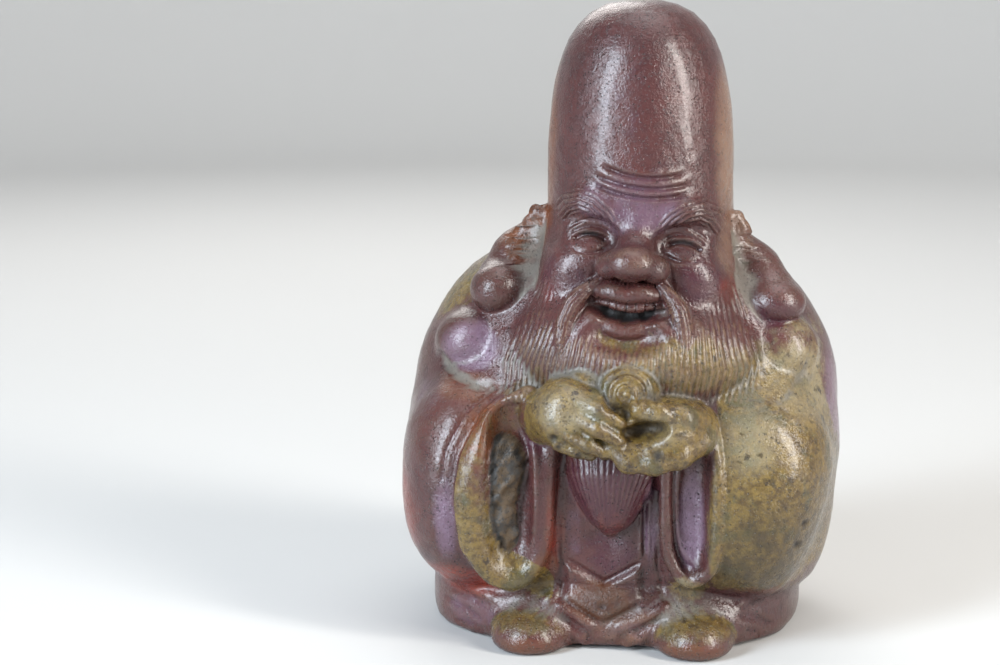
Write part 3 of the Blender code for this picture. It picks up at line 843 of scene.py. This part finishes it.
def laidLines(x, z, lines, ends=0.15):
    # Sum of the humps along lines, each with its own height and half width
    relief = np.zeros_like(x)
    for points, high, wide in lines:
        gap, _, share = lineDistance(x, z, points)
        relief += high * hump(gap, wide) * fades(share, ends)
    return relief


def bandTooling(x, z):
    # Each band stands out between two lines that climb with the distance from the middle
    out = np.abs(x - bands["middle"])
    lines = (bands["top"], bands["between"], bands["low"])
    top, between, low = (height + climb * out for height, climb in lines)
    relief = bands["upperHigh"] * rise(top - z, -0.8, 0.9) * rise(z - between, -0.6, 0.6)
    relief += bands["lowerHigh"] * rise(between - z, -0.4, 0.4) * rise(z - low, -0.6, 0.6)
    relief -= bands["lowGroove"] * hump(np.abs(z - low + 1.1), 1.3)
    relief -= bands["topGroove"] * hump(np.abs(z - top - 0.9), 1.3)
    relief *= rise(bands["half"] - out, 0, 2.6)
    for px, pz, high, wide in (bands["knot"], bands["knotHole"]):
        relief += high * hump(np.hypot(x - px, z - pz), wide)
    return relief


def clothTooling(x, y, z):
    # Grooves and ridges along lines, two overlapping V bands and the left cuff's step
    ahead, back = rise(-y, 6, 14), rise(y, 2, 14)
    relief = (laidLines(x, z, cloth["ridges"]) - laidLines(x, z, cloth["grooves"])) * ahead
    for points, deep, wide in cloth["behind"]:
        gap, signed, share = lineDistance(x, z, points)
        fold = hump(gap, wide) - 0.6 * hump(np.abs(signed - wide), wide)
        relief -= deep * fold * fades(share, 0.2) * back
    relief += laidLines(x, z, (cloth["neck"],)) * back + bandTooling(x, z) * ahead
    gap, signed, share = lineDistance(x, z, cloth["cuff"])
    inside, left = rise(signed, -0.5, 0.5), ahead * (x < -20)
    relief -= 0.9 * (1 - inside) * rise(9 - gap, 0, 9) * fades(share, 0.12, 0.1) * left
    relief += 0.35 * inside * hump(gap - 1.2, 1.8) * rise(1 - share, 0, 0.1) * left
    return relief, inside * rise(13 - gap, 0, 2) * (x < -18) * ahead


knobRings = {"middle": (5.2, 85.4), "wide": 1.05, "reach": 8.0, "pitch": 2.5, "deep": 0.4}


def ringTooling(x, y, z):
    # Concentric rings on the round knob above the hands
    gap = np.hypot((x - knobRings["middle"][0]) / knobRings["wide"], z - knobRings["middle"][1])
    inKnob = rise(knobRings["reach"] - gap, 0, 1.4) * (y < -48) * rise(z, 79.5, 81.5)
    return knobRings["deep"] * np.cos(2 * math.pi * gap / knobRings["pitch"]) * inKnob


pits = (  # x, z, width and depth
    (-16.5, 72.0, 1.2, 1.0), (-15.2, 69.0, 1.1, 0.9), (15.2, 68.2, 1.8, 0.6), (-9.0, 66.8, 1.2, 0.7),
    (59.5, 43, 1.0, 0.6), (57.5, 36.0, 1.3, 0.6),
)


def onForm(distance, width=1.0):
    # One on the form, fading to nothing at the width away from its skin
    return rise(width - distance, 0, width)


def tooled(grid):
    # Adds all tooling along the skin's normals and returns the marks the glaze needs
    normals = gridNormals(grid)
    for _ in range(2):
        normals[1:-1] = (normals[1:-1] * 2 + np.roll(normals, 1, 1)[1:-1] + np.roll(normals, -1, 1)[1:-1]
                         + normals[2:] + normals[:-2])
        normals /= np.linalg.norm(normals, axis=2, keepdims=True) + 1e-9
    shape = grid.shape[:2]
    p = grid.reshape(-1, 3)
    x, y, z = (grid[..., i] for i in range(3))
    across, up = (v.reshape(shape) for v in faceFrame(p))
    facing = rise(-normals[..., 1], 0.0, 0.25)
    hairRelief, inFan, inTip = beardTooling(x, y, z, across, up)
    shapes = (handsShape, scarShape, shoesShape, rollsShape, lobesShape, moustacheShape, lipsShape, tipShape)
    inHands, inScar, inShoes, inRolls, inLobes, inLock, inLips, onTip = (
        onForm(form(p)).reshape(shape) for form in shapes)
    inTip = inTip * onTip * (1 - inHands)
    inFan = inFan * (1 - inHands) * (1 - inLock) * (1 - inRolls)
    clothRelief, inCuff = clothTooling(x, y, z)
    bare = (1 - inHands) * (1 - inScar)
    relief = hairRelief * np.clip(inFan + inTip, 0, 1) + faceTooling(x, y, z, across, up)
    behind = rise(y, 0, 8)
    frontal = rise(-normals[..., 1], 0.15, 0.55)
    relief = relief * np.maximum(facing, behind) * bare
    relief = relief + clothRelief * (1 - inTip) * (1 - inShoes) * np.maximum(frontal, behind) * bare
    crust = 0.5 - np.abs(ripple(x, y, z, 9.0, 11)) * 1.6 + 0.5 * ripple(x, y, z, 3.4, 12)
    relief = relief + inScar * (0.1 + 0.8 * crust) + ringTooling(x, y, z)
    inPits = np.zeros_like(x)
    for px, pz, wide, deep in pits:
        pit = hump(np.hypot(x - px, z - pz), wide * 1.5) * (y < -8)
        relief = relief - deep * pit
        inPits = np.maximum(inPits, pit)
    relief = relief + 0.15 * ripple(x, y, z, 17, 5) + 0.06 * ripple(x, y, z, 5, 6)
    relief = relief * rise(z, 0.2, 2.0)
    out = grid + normals * relief[..., None]
    out = calmed(out, lowFront(out) * (1 - inTip))
    out[..., 2] = np.maximum(out[..., 2], 0)
    forms = {"fan": inFan, "tip": inTip, "hands": inHands, "scar": inScar, "shoes": inShoes, "rolls": inRolls,
             "lobes": inLobes, "lock": inLock, "lips": inLips, "cuff": inCuff, "pits": inPits}
    return out, forms


def hollowMark(grid, rounds):
    # How deep a point lies below the average of its surroundings, along its normal
    soft = grid.copy()
    for _ in range(rounds):
        soft[1:-1] = (soft[2:] + soft[:-2] + np.roll(soft, 1, 1)[1:-1] + np.roll(soft, -1, 1)[1:-1]) / 4
    return ((soft - grid) * gridNormals(grid)).sum(2)


def spot(grid, centre, size, soft=0.6):
    # One inside an ellipsoid round the centre, fading to nothing at its size
    far = np.sqrt((((grid - np.float32(centre)) / np.float32(size)) ** 2).sum(2))
    return rise(1 - far, 0, soft)


def spots(grid, places):
    # The strongest of several spots, each scaled by its own strength
    return np.max([strength * spot(grid, centre, size) for centre, size, strength in places], axis=0)


coats = {  # where each finish, painted highlight and painted shade lies: centre, size and strength
    "ash": (
        ((56, -22, 52), (40, 60, 46), 1.0), ((24, -48, 20), (12, 16, 9), 0.75),
        ((20, -44, 92), (26, 26, 14), 0.7), ((6, -50, 88), (16, 20, 12), 0.7),
        ((-54, 2, 110), (20, 32, 22), 0.75), ((-40, 34, 100), (30, 26, 18), 0.45),
        ((60, -10, 88), (20, 34, 18), 0.75), ((-33, -50, 22), (9, 12, 6), 0.75),
        ((4, -46, 100), (14, 12, 8), 0.6), ((30, 34, 98), (46, 30, 18), 0.5),
        ((54, 22, 38), (30, 32, 34), 0.65),
    ),
    # painted shade on the ash: the lower and outer right sleeve, the shoes and below the fists
    "deep": (
        ((50, -40, 34), (26, 34, 24), 1.0), ((-26, -50, 10), (13, 14, 6), 0.6),
        ((27, -50, 10), (13, 14, 6), 0.6), ((64, -10, 46), (14, 50, 34), 0.6),
        ((-2, -60, 68), (24, 14, 7), 0.5),
    ),
    # painted highlights on the ash: the right sleeve and shoulder, the fists and the bottom of the right
    # mouth's rim
    "paintedHighlight": (
        ((60, -20, 86), (20, 38, 22), 0.6), ((42, -52, 70), (14, 16, 14), 0.55),
        ((-13, -62, 81), (13, 9, 9), 0.6), ((16, -64, 76), (12, 8, 7), 0.4),
        ((22, -48, 24), (14, 14, 6), 0.4),
    ),
    "flame": (
        ((-64, -14, 42), (17, 44, 30), 1.0), ((-27, -8, 150), (10, 30, 50), 0.55),
        ((-50, -34, 20), (24, 28, 11), 0.85), ((-17, -48, 40), (5, 12, 30), 0.6),
        ((-52, -20, 72), (16, 30, 12), 0.35), ((0, -50, 44), (7, 12, 9), 0.4),
        ((-50, 30, 40), (34, 40, 34), 0.4), ((37, -30, 113), (9, 16, 10), 0.5),
        ((-20, -36, 112), (8, 12, 8), 0.4),
    ),
    "rust": (
        ((-30, -8, 158), (16, 34, 66), 1.0), ((-4, -46, 16), (15, 12, 10), 0.95),
        ((-20, -46, 26), (8, 12, 10), 0.6), ((-38, -50, 70), (14, 14, 20), 0.9),
        ((-25, -50, 3), (17, 22, 6), 0.7), ((26, -50, 3), (17, 22, 6), 0.7),
        ((-44, -34, 81), (18, 22, 8), 0.65), ((50, -30, 22), (24, 30, 7), 0.6),
        ((50, -32, 86), (12, 16, 8), 0.6), ((8, -48, 4), (14, 12, 5), 0.5),
    ),
    "tan": (
        ((38, -14, 160), (13, 34, 52), 1.0), ((36, -24, 126), (9, 18, 16), 0.6),
        ((24, -44, 101), (8, 9, 12), 0.5), ((5.5, -47, 125), (9, 8, 7), 0.4),
        ((0, -50, 92), (32, 20, 14), 0.45), ((4, -46, 8), (40, 14, 9), 0.45),
        ((46, -20, 106), (10, 12, 6), 0.4), ((10, 30, 60), (60, 24, 50), 0.3),
    ),
    "plum": (
        ((0, -48, 54), (22, 16, 24), 0.9), ((-2, -44, 30), (16, 12, 14), 0.6),
        ((6, -28, 158), (26, 20, 40), 0.3), ((74, 4, 78), (14, 40, 36), 0.9),
        ((-18, -34, 117), (14, 16, 12), 0.55), ((26, -34, 116), (12, 16, 12), 0.55),
        ((-24, -54, 68), (8, 14, 9), 0.9), ((49, -20, 105), (14, 16, 8), 0.9),
        ((30, -54, 64), (6, 12, 8), 0.5), ((0, 40, 40), (60, 24, 30), 0.5),
    ),
    # lilac glaze, and in part a painted sheen: the forehead, the dome's front, the left sleeve by the cuff,
    # the left lobe and the right side's edge
    "lilacAndSheen": (
        ((-51, -42, 44), (7, 18, 22), 0.95), ((-46, -30, 93), (15, 18, 12), 0.9),
        ((-52, -26, 74), (20, 30, 13), 0.5), ((-48, -38, 8), (18, 22, 9), 0.7),
        ((8, -48, 6), (16, 16, 7), 0.5), ((-10, -48, 9), (12, 16, 7), 0.5),
        ((25, -44, 44), (8, 8, 26), 1.0), ((69, -4, 72), (9, 30, 36), 0.8),
        ((0, -36, 165), (16, 10, 40), 0.35), ((-12, -44, 40), (4, 10, 28), 0.5),
        ((12, -44, 44), (4, 10, 26), 0.6), ((50, -40, 10), (16, 18, 8), 0.4),
        ((-30, 40, 90), (36, 24, 26), 0.45), ((4, -34, 140), (26, 14, 16), 0.6),
        ((-16, -40, 112), (9, 10, 9), 0.4),
    ),
    "grime": (
        ((5, -34, 92), (50, 40, 24), 0.85), ((-30, -14, 118), (16, 24, 24), 0.85),
        ((42, -12, 116), (18, 24, 24), 0.85), ((-40, -30, 86), (28, 26, 10), 0.95),
        ((50, -24, 84), (28, 26, 14), 0.9), ((0, -46, 12), (60, 24, 12), 0.6),
        ((0, -46, 50), (50, 20, 40), 0.12), ((5, -34, 124), (34, 26, 26), 0.1),
        ((0, 40, 60), (76, 30, 70), 0.6),
    ),
    "veil": (
        ((-28, -26, 90), (14, 20, 16), 0.7), ((38, -26, 92), (14, 22, 18), 0.7),
        ((-24, -24, 108), (8, 16, 18), 0.6), ((34, -22, 108), (8, 16, 18), 0.6),
        ((-28, -13, 126), (5, 6, 9), 0.8), ((37, -12, 124), (5, 6, 8), 0.8),
        ((4, -44, 90), (30, 20, 12), 0.35), ((60, -16, 98), (12, 20, 12), 0.25),
        ((-40, -34, 83), (18, 18, 5), 0.6),
    ),
}


touches = {  # single places that have their own finish, some of them painted shade: centre, size and softness
    # the open mouth's gap, painted black as shade
    "mouth": (facePlace(-1, -38, -13.2), (13, 5.5, 4.2), 0.3),
    "bareEdge": ((74, 2, 82), (17, 42, 34), 0.5),
    "chin": ((5, -46, 101), (18, 12, 8)),
    "bandClear": ((-2, -46, 17), (15, 14, 9)),
    "bandShade": ((-2, -46, 16), (15, 12, 9)),
    # the left mouth's concave channel, darkened as painted shade
    "leftMouth": ((-25.5, -40, 54), (5, 9, 26)),
    "rightMouth": ((25, -46, 50), (10, 14, 34)),
}


def eyeSlits(grid):
    # One along the closed eyes, where the slit's shade is painted dark
    across, up = (v.reshape(grid.shape[:2]) for v in faceFrame(grid.reshape(-1, 3)))
    gap, _, share = lineDistance(np.abs(across), up, bow(*wrinkles["lids"][0][:5]))
    return hump(gap, 1.3) * rise(share, 0.1, 0.4) * rise(1 - share, 0.15, 0.4) * (grid[..., 1] < -20)


def ashOn(grid, forms, ash):
    # Spots of ash, and all over the hands, the right sleeve, the shoes and the left cuff
    x, y, z = (grid[..., i] for i in range(3))
    dull = np.maximum.reduce([forms["lobes"], forms["rolls"], forms["lips"]])
    sleeve = rise(x - 0.08 * np.abs(z - 45), 27.5, 32) * rise(z, 15, 26)
    sleeve = sleeve * rise(108 - z, 0, 24) * rise(34 - y, 0, 36) * rise(78 - x, 0, 12)
    shoes = 0.75 * forms["shoes"] * rise(z + 0.12 * np.abs(np.abs(x) - 26), -1, 12)
    cuff = 0.95 * forms["cuff"] * (0.45 + 0.55 * rise(64 - z, 0, 30))
    ash = np.maximum.reduce([ash * (1 - 0.8 * dull), forms["hands"] * rise(x, -29, -24), sleeve, shoes, cuff,
                             0.45 * forms["rolls"] * (x > 0)])
    return ash * (1 - forms["tip"]) * (1 - 0.5 * forms["lock"]) * (1 - 0.8 * spot(grid, *touches["bareEdge"]))


def finishMarks(grid, forms):
    # How much of each finish, painted shade and painted highlight every point carries, from the spots, the
    # forms and the hollows
    y, z = grid[..., 1], grid[..., 2]
    dense = rise(154 - z, 0, 6) * rise(14 - y, 0, 16) * rise(z, 1, 3)
    fine, wide = hollowMark(grid, 4) * dense, hollowMark(grid, 26) * dense
    hollow = np.clip(0.55 * rise(fine, 0.01, 0.12) + 0.85 * rise(wide, 0.10, 1.0), 0, 1)
    lay = {name: spots(grid, places) for name, places in coats.items()}
    at = {name: spot(grid, *place) for name, place in touches.items()}
    lay["ash"] = ashOn(grid, forms, lay["ash"])
    inMouth, inSlit = at["mouth"] * (1 - forms["lips"]), eyeSlits(grid)
    grime = np.clip(lay["grime"] * hollow * 1.15 + lay.pop("veil") * (0.35 + 0.3 * hollow), 0, 1)
    grime = grime * (1 - 0.8 * forms["lips"]) * (1 - 0.6 * forms["lobes"]) * (1 - forms["scar"])
    grime = grime * (1 - 0.85 * at["chin"]) * (1 - inMouth) * (1 - inSlit)
    lay["grime"] = grime * (1 - 0.8 * at["bandClear"])
    # painted shade: dark in the creases of the hands and in the deepest hollows, except inside the right
    # mouth
    inCrease = 0.7 * forms["hands"] * rise(wide, 0.45, 2.0)
    deepest = 0.45 * rise(wide, 0.9, 3.0) * (1 - at["rightMouth"])
    shade = np.maximum(0.6 * at["bandShade"], 0.5 * at["leftMouth"])
    # dark paint: painted shade in the mouth, the eye slits, the creases, the deepest hollows, the bands and
    # the left mouth, with the real pits
    dark = np.maximum.reduce([1.2 * inMouth, forms["pits"], inSlit, inCrease, deepest, shade])
    lay["dark"] = np.clip(dark, 0, 1)
    lay["edge"] = rise(-fine, 0.015, 0.12)
    lay["scar"] = forms["scar"]
    lay["beard"] = np.maximum(forms["fan"], 0.7 * forms["lock"])
    return {name + "Mark": values for name, values in lay.items()}


clay = settled(firstTouch(*rayFan()))
clay = calmed(clay, lowFront(clay))
print("clay met by the rays and evened out")
figureGrid, forms = tooled(clay)
figurePiece = meshFromGrid("fukurokujuFigure", figureGrid, finishMarks(figureGrid, forms))
print("figure skin", len(figurePiece.data.vertices), "points", len(figurePiece.data.polygons), "faces")


# Glaze: shader maths as plain expressions

class Wire:
    # Wraps a value socket so that + - * build Math nodes
    def __init__(self, glaze, socket):
        self.glaze, self.socket = glaze, socket

    def math(self, operation, first, second):
        # One Math node on two values or wires
        return self.glaze.value("ShaderNodeMath", {"operation": operation}, {0: first, 1: second})

    def __add__(self, other):
        return self.math("ADD", self, other)

    def __radd__(self, other):
        return self.math("ADD", other, self)

    def __sub__(self, other):
        return self.math("SUBTRACT", self, other)

    def __rsub__(self, other):
        return self.math("SUBTRACT", other, self)

    def __mul__(self, other):
        return self.math("MULTIPLY", self, other)

    def __rmul__(self, other):
        return self.math("MULTIPLY", other, self)


class Glaze:
    # One material and the nodes it is made of
    def __init__(self, name):
        self.material = bpy.data.materials.new(name)
        self.material.use_nodes = True
        self.tree = self.material.node_tree
        self.tree.nodes.clear()
        self.place = self.node("ShaderNodeTexCoord", {}, {}).outputs["Object"]

    def node(self, kind, settings, inputs):
        # A node with its settings made first, then the values or links of its sockets
        made = self.tree.nodes.new(kind)
        for key, value in settings.items():
            setattr(made, key, value)
        for key, value in inputs.items():
            if isinstance(value, Wire):
                value = value.socket
            if isinstance(value, bpy.types.NodeSocket):
                self.tree.links.new(value, made.inputs[key])
            else:
                made.inputs[key].default_value = value
        return made

    def value(self, kind, settings, inputs, output=0):
        # A node whose result is a single value
        return Wire(self, self.node(kind, settings, inputs).outputs[output])

    def mark(self, name):
        # How much of a finish the mesh carries here
        return self.value("ShaderNodeAttribute", {"attribute_name": name}, {}, "Fac")

    def noise(self, scale, detail=3, rough=0.55):
        # Noise fixed to the object, about 0.5 on average
        inputs = {"Vector": self.place, "Scale": scale, "Detail": detail, "Roughness": rough}
        return self.value("ShaderNodeTexNoise", {}, inputs)

    def step(self, wire, low, high, start=0.0, end=1.0):
        # Smooth step from start at low to end at high
        inputs = {"Value": wire, "From Min": low, "From Max": high, "To Min": start, "To Max": end}
        return self.value("ShaderNodeMapRange", {"interpolation_type": "SMOOTHSTEP"}, inputs)

    def blend(self, share, a, b):
        # Colour a with a share of colour b: a colour Mix node's sockets are 0, 6 and 7, its result 2
        return self.node("ShaderNodeMix", {"data_type": "RGBA"}, {0: share, 6: a, 7: b}).outputs[2]


colours = {
    "body": (0.086, 0.028, 0.026, 1), "bodyDark": (0.035, 0.012, 0.013, 1),
    "plum": (0.052, 0.013, 0.021, 1), "lilacAndSheen": (0.185, 0.118, 0.172, 1),
    "flame": (0.230, 0.028, 0.012, 1), "rust": (0.150, 0.043, 0.012, 1), "tan": (0.270, 0.182, 0.122, 1),
    "ash": (0.165, 0.108, 0.028, 1), "ashBrown": (0.050, 0.028, 0.010, 1),
    "ashOlive": (0.050, 0.050, 0.022, 1), "ashHighlight": (0.300, 0.258, 0.168, 1),
    "ashDeep": (0.040, 0.029, 0.013, 1), "grime": (0.140, 0.125, 0.104, 1),
    "scar": (0.028, 0.026, 0.024, 1), "scarBrown": (0.072, 0.044, 0.021, 1),
    "dark": (0.008, 0.006, 0.006, 1), "worn": (0.155, 0.098, 0.058, 1),
}


mottling = {  # noise of each size: scale, detail and roughness
    "broad": (26, 4), "middle": (85, 5, 0.6), "fine": (300, 4, 0.65), "grain": (1100, 3, 0.7),
    "crumb": (430, 4, 0.7), "olive": (110, 5, 0.65), "deep": (210, 3, 0.6), "spots": (330, 3, 0.6),
    "spotAreas": (45, 2), "speckAreas": (130, 2), "grit": (1400, 2, 0.6),
}
drifts = (  # mark, its colour, the colour that mottles it and how much, where it sets in and is full, most
    ("lilacAndSheenMark", "lilacAndSheen", "plum", 0.5, 0.0, 1.1, 0.9),
    ("flameMark", "flame", "bodyDark", 0.5, -0.1, 0.9, 0.9),
    ("rustMark", "rust", "bodyDark", 0.6, -0.1, 0.9, 0.95),
    ("tanMark", "tan", "rust", 0.5, -0.1, 1.2, 0.75),
)
surface = {"pinScale": 850, "roughness": 0.20, "coat": 0.2, "coatRoughness": 0.14, "refraction": 1.5,
           "bump": 0.9, "bumpDepth": 0.0004}


def ashColours(g, noise):
    # Crumbly olive and brown ash with dark spots, paler where a highlight is painted, deeper where shade is
    # painted
    ash = g.blend(g.step(noise["crumb"], 0.38, 0.64) * 0.8, colours["ash"], colours["ashBrown"])
    ash = g.blend(g.step(noise["olive"], 0.50, 0.64, 0.0, 0.75), ash, colours["ashOlive"])
    # painted highlight: paler ash where the highlight mark lies
    ash = g.blend(g.mark("paintedHighlightMark") * (0.5 + noise["middle"] * 0.5), ash, colours["ashHighlight"])
    # painted shade: deeper ash where the deep mark lies
    paintedShade = g.mark("deepMark") * (0.2 + noise["middle"] * 0.5 + noise["fine"] * 0.4)
    ash = g.blend(paintedShade, ash, colours["ashDeep"])
    ash = g.blend(g.step(noise["deep"], 0.60, 0.68, 0.0, 0.8), ash, colours["ashDeep"])
    spotted = g.step(noise["spots"], 0.58, 0.66) * g.step(noise["spotAreas"], 0.46, 0.60)
    return g.blend(spotted * 0.85, ash, colours["dark"])


def stonewareGlaze():
    # Iron-red clay under patches of wood ash, each patch broken up by noise along its edge
    g = Glaze("ashGlazedStoneware")
    noise = {name: g.noise(*size) for name, size in mottling.items()}
    noise["broad"] = g.step(noise["broad"], 0.3, 0.7)
    noise["middle"] = g.step(noise["middle"], 0.3, 0.7)
    noise["fine"] = g.step(noise["fine"], 0.32, 0.68)
    broad, middle, fine, grain = (noise[name] for name in ("broad", "middle", "fine", "grain"))
    mottle = broad * 0.3 + middle * 0.35 + fine * 0.35
    pins = g.value("ShaderNodeTexVoronoi", {}, {"Vector": g.place, "Scale": surface["pinScale"]}, "Distance")
    pin = (1.0 - g.step(pins, 0.10, 0.30)) * g.step(grain, 0.42, 0.55)

    def lay(colour, mark, finish, low, high, most=1.0):
        # Covers the colour with a finish where its mark and the mottle together pass low
        amount = g.step(g.mark(mark) * 1.5 + mottle * 0.9 - 0.9, low, high, 0.0, most)
        return g.blend(amount * g.step(g.mark(mark), 0.02, 0.15), colour, finish), amount

    colour = g.blend(broad * 0.5 + fine * 0.4, colours["body"], colours["bodyDark"])
    colour, _ = lay(colour, "plumMark", colours["plum"], 0.0, 0.8)
    for mark, main, other, share, low, high, most in drifts:
        colour, _ = lay(colour, mark, g.blend(fine * share, colours[main], colours[other]), low, high, most)
    colour, ash = lay(colour, "ashMark", ashColours(g, noise), 0.0, 0.65, 0.97)
    beard = g.step(g.mark("beardMark") * g.mark("edgeMark") * (0.4 + middle * 0.8), 0.2, 0.9, 0.0, 0.5)
    colour = g.blend(beard, colour, colours["worn"])
    grime = g.step(g.mark("grimeMark") * (0.35 + mottle * 1.2), 0.08, 1.05, 0.0, 0.85)
    colour = g.blend(grime, colour, colours["grime"])
    scar = g.step(g.mark("scarMark"), 0.3, 0.8)
    colour = g.blend(scar, colour, g.blend(g.step(mottle, 0.35, 0.65), colours["scar"], colours["scarBrown"]))
    # the dark mark paints shade into the mouth, the eye slits, the creases, the deepest hollows and the
    # bands, and darkens the real pits
    colour = g.blend(g.mark("darkMark") * (1.0 - grime * 0.5), colour, colours["dark"])
    colour = g.blend(g.mark("edgeMark") * (0.2 + fine * 0.5) * 0.25, colour, colours["worn"])
    speck = g.step(grain, 0.60, 0.68) * g.step(noise["speckAreas"], 0.44, 0.58)
    colour = g.blend(speck * 0.7, colour, colours["dark"])
    colour = g.blend(pin * (0.35 + fine * 0.4), colour, colours["dark"])

    rough = surface["roughness"] + grime * 0.34 + ash * 0.03 + fine * 0.08
    rough = rough + scar * 0.3 + g.mark("darkMark") * 0.35
    coat = (1.0 - g.step(g.mark("darkMark"), 0.1, 0.6)) * (1.0 - scar) * surface["coat"]
    height = noise["grit"] * 0.6 + grain * 0.3 + fine * 0.25 - speck * 0.3 - pin * 0.5
    inputs = {"Strength": surface["bump"], "Distance": surface["bumpDepth"], "Height": height}
    bump = g.node("ShaderNodeBump", {}, inputs)
    inputs = {"Base Color": colour, "Roughness": rough, "Normal": bump.outputs[0], "Coat Weight": coat,
              "Coat Roughness": surface["coatRoughness"], "IOR": surface["refraction"]}
    shader = g.node("ShaderNodeBsdfPrincipled", {}, inputs)
    g.node("ShaderNodeOutputMaterial", {}, {"Surface": shader.outputs[0]})
    return g.material


figurePiece.data.materials.append(stonewareGlaze())
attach(figurePiece, "root")
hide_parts(nodeName)
print("glaze mixed")


# Studio: a pale floor that curves up all round, soft lights and the photograph's view
studio = {
    "flat": 1.3, "curve": 0.6, "wall": 2.2, "middle": 0.05, "sides": 96, "curveSteps": 25,
    "colour": (0.55, 0.545, 0.535, 1), "unevenness": 0.97,
    "air": (0.80, 0.82, 0.86, 1), "airStrength": 0.16,
}


def paleBowl():
    # Profile turned about z: flat disc, a quarter circle up, then a wall
    sides = studio["sides"]
    turn = np.linspace(0, math.pi / 2, studio["curveSteps"])
    curve = studio["flat"] + studio["curve"] * np.sin(turn)
    r = np.concatenate([[studio["middle"]], curve, curve[-1:]])[:, None]
    z = np.concatenate([[0], studio["curve"] * (1 - np.cos(turn)), [studio["wall"]]])[:, None]
    around = np.arange(sides) * 2 * math.pi / sides
    points = np.stack(np.broadcast_arrays(r * np.cos(around), r * np.sin(around), z), -1)
    ring, side = np.meshgrid(np.arange(len(r) - 1), np.arange(sides), indexing="ij")
    a, b = (ring * sides + side).ravel(), (ring * sides + (side + 1) % sides).ravel()
    faces = np.stack([a, a + sides, b + sides, b], 1).tolist() + [list(range(sides))]
    mesh = bpy.data.meshes.new("paleBowl")
    mesh.from_pydata(points.reshape(-1, 3).tolist(), [], faces)
    mesh.shade_smooth()
    obj = bpy.data.objects.new("paleBowl", mesh)
    bpy.context.scene.collection.objects.link(obj)
    g = Glaze("palePaper")
    other = [v * studio["unevenness"] for v in studio["colour"][:3]] + [1]
    colour = g.blend(g.noise(3, 2), studio["colour"], other)
    inputs = {"Base Color": colour, "Roughness": 0.9, "Specular IOR Level": 0.2}
    shader = g.node("ShaderNodeBsdfPrincipled", {}, inputs)
    g.node("ShaderNodeOutputMaterial", {}, {"Surface": shader.outputs[0]})
    mesh.materials.append(g.material)
    return obj


paleBowl()

lights = (
    {"name": "leftBox", "at": (-0.74, -0.76, 0.52), "size": (0.30, 1.0), "power": 24.5,
     "colour": (0.78, 0.89, 1.0), "aim": (0, 0, 0.1)},
    {"name": "rightBox", "at": (0.80, -0.40, 0.50), "size": (0.16, 0.9), "power": 14.0,
     "colour": (1.0, 0.97, 0.92), "aim": (0, 0, 0.1)},
    {"name": "topBox", "at": (0.1, 0.1, 1.25), "size": (0.8, 0.8), "power": 5.5,
     "colour": (1.0, 1.0, 1.0), "aim": (0, 0, 0.1)},
    {"name": "backBox", "at": (-0.3, 0.85, 0.7), "size": (0.5, 0.5), "power": 3.0,
     "colour": (1.0, 0.98, 0.95), "aim": (0, 0, 0.1)},
    {"name": "wallBox", "at": (0.0, 0.7, 1.5), "size": (1.6, 0.5), "power": 12.0,
     "colour": (1.0, 1.0, 1.0), "aim": (0, 2.0, 0.5)},
)
for lamp in lights:
    data = bpy.data.lights.new(lamp["name"], "AREA")
    data.shape = "RECTANGLE"
    data.size, data.size_y = lamp["size"]
    data.energy, data.color = lamp["power"], lamp["colour"]
    obj = bpy.data.objects.new(lamp["name"], data)
    obj.location = lamp["at"]
    look = Vector(lamp["aim"]) - Vector(lamp["at"])
    obj.rotation_euler = look.to_track_quat("-Z", "Y").to_euler()
    bpy.context.scene.collection.objects.link(obj)

world = bpy.data.worlds.new("softRoom")
world.use_nodes = True
air = world.node_tree.nodes["Background"]
air.inputs[0].default_value, air.inputs[1].default_value = studio["air"], studio["airStrength"]
bpy.context.scene.world = world

view = {  # lengths in metres, angles in degrees
    "focalPixels": 2240, "imageWide": 1000, "sensor": 36, "distance": 0.717, "height": 0.2297,
    "azimuth": 3.7, "turnedLeft": 3.19, "pitch": 10.8, "nearest": 0.01,
}


def photoCamera():
    # Stands at the azimuth and distance, looks along its heading and down by the pitch
    around, heading = math.radians(view["azimuth"]), math.radians(view["azimuth"] + view["turnedLeft"])
    down = math.radians(view["pitch"])
    right = Vector((math.cos(heading), math.sin(heading), 0))
    ahead = Vector((-math.sin(heading), math.cos(heading), 0))
    look = ahead * math.cos(down) - Vector((0, 0, math.sin(down)))
    above = ahead * math.sin(down) + Vector((0, 0, math.cos(down)))
    data = bpy.data.cameras.new("photoCamera")
    data.sensor_width = view["sensor"]
    data.lens = view["focalPixels"] / view["imageWide"] * view["sensor"]
    data.clip_start = view["nearest"]
    obj = bpy.data.objects.new("photoCamera", data)
    obj.matrix_world = Matrix((right, above, -look)).transposed().to_4x4()
    away = view["distance"]
    obj.location = (away * math.sin(around), -away * math.cos(around), view["height"])
    bpy.context.scene.collection.objects.link(obj)
    return obj


bpy.context.scene.camera = photoCamera()
bpy.context.scene.view_settings.view_transform = "Standard"
print("studio and camera set")
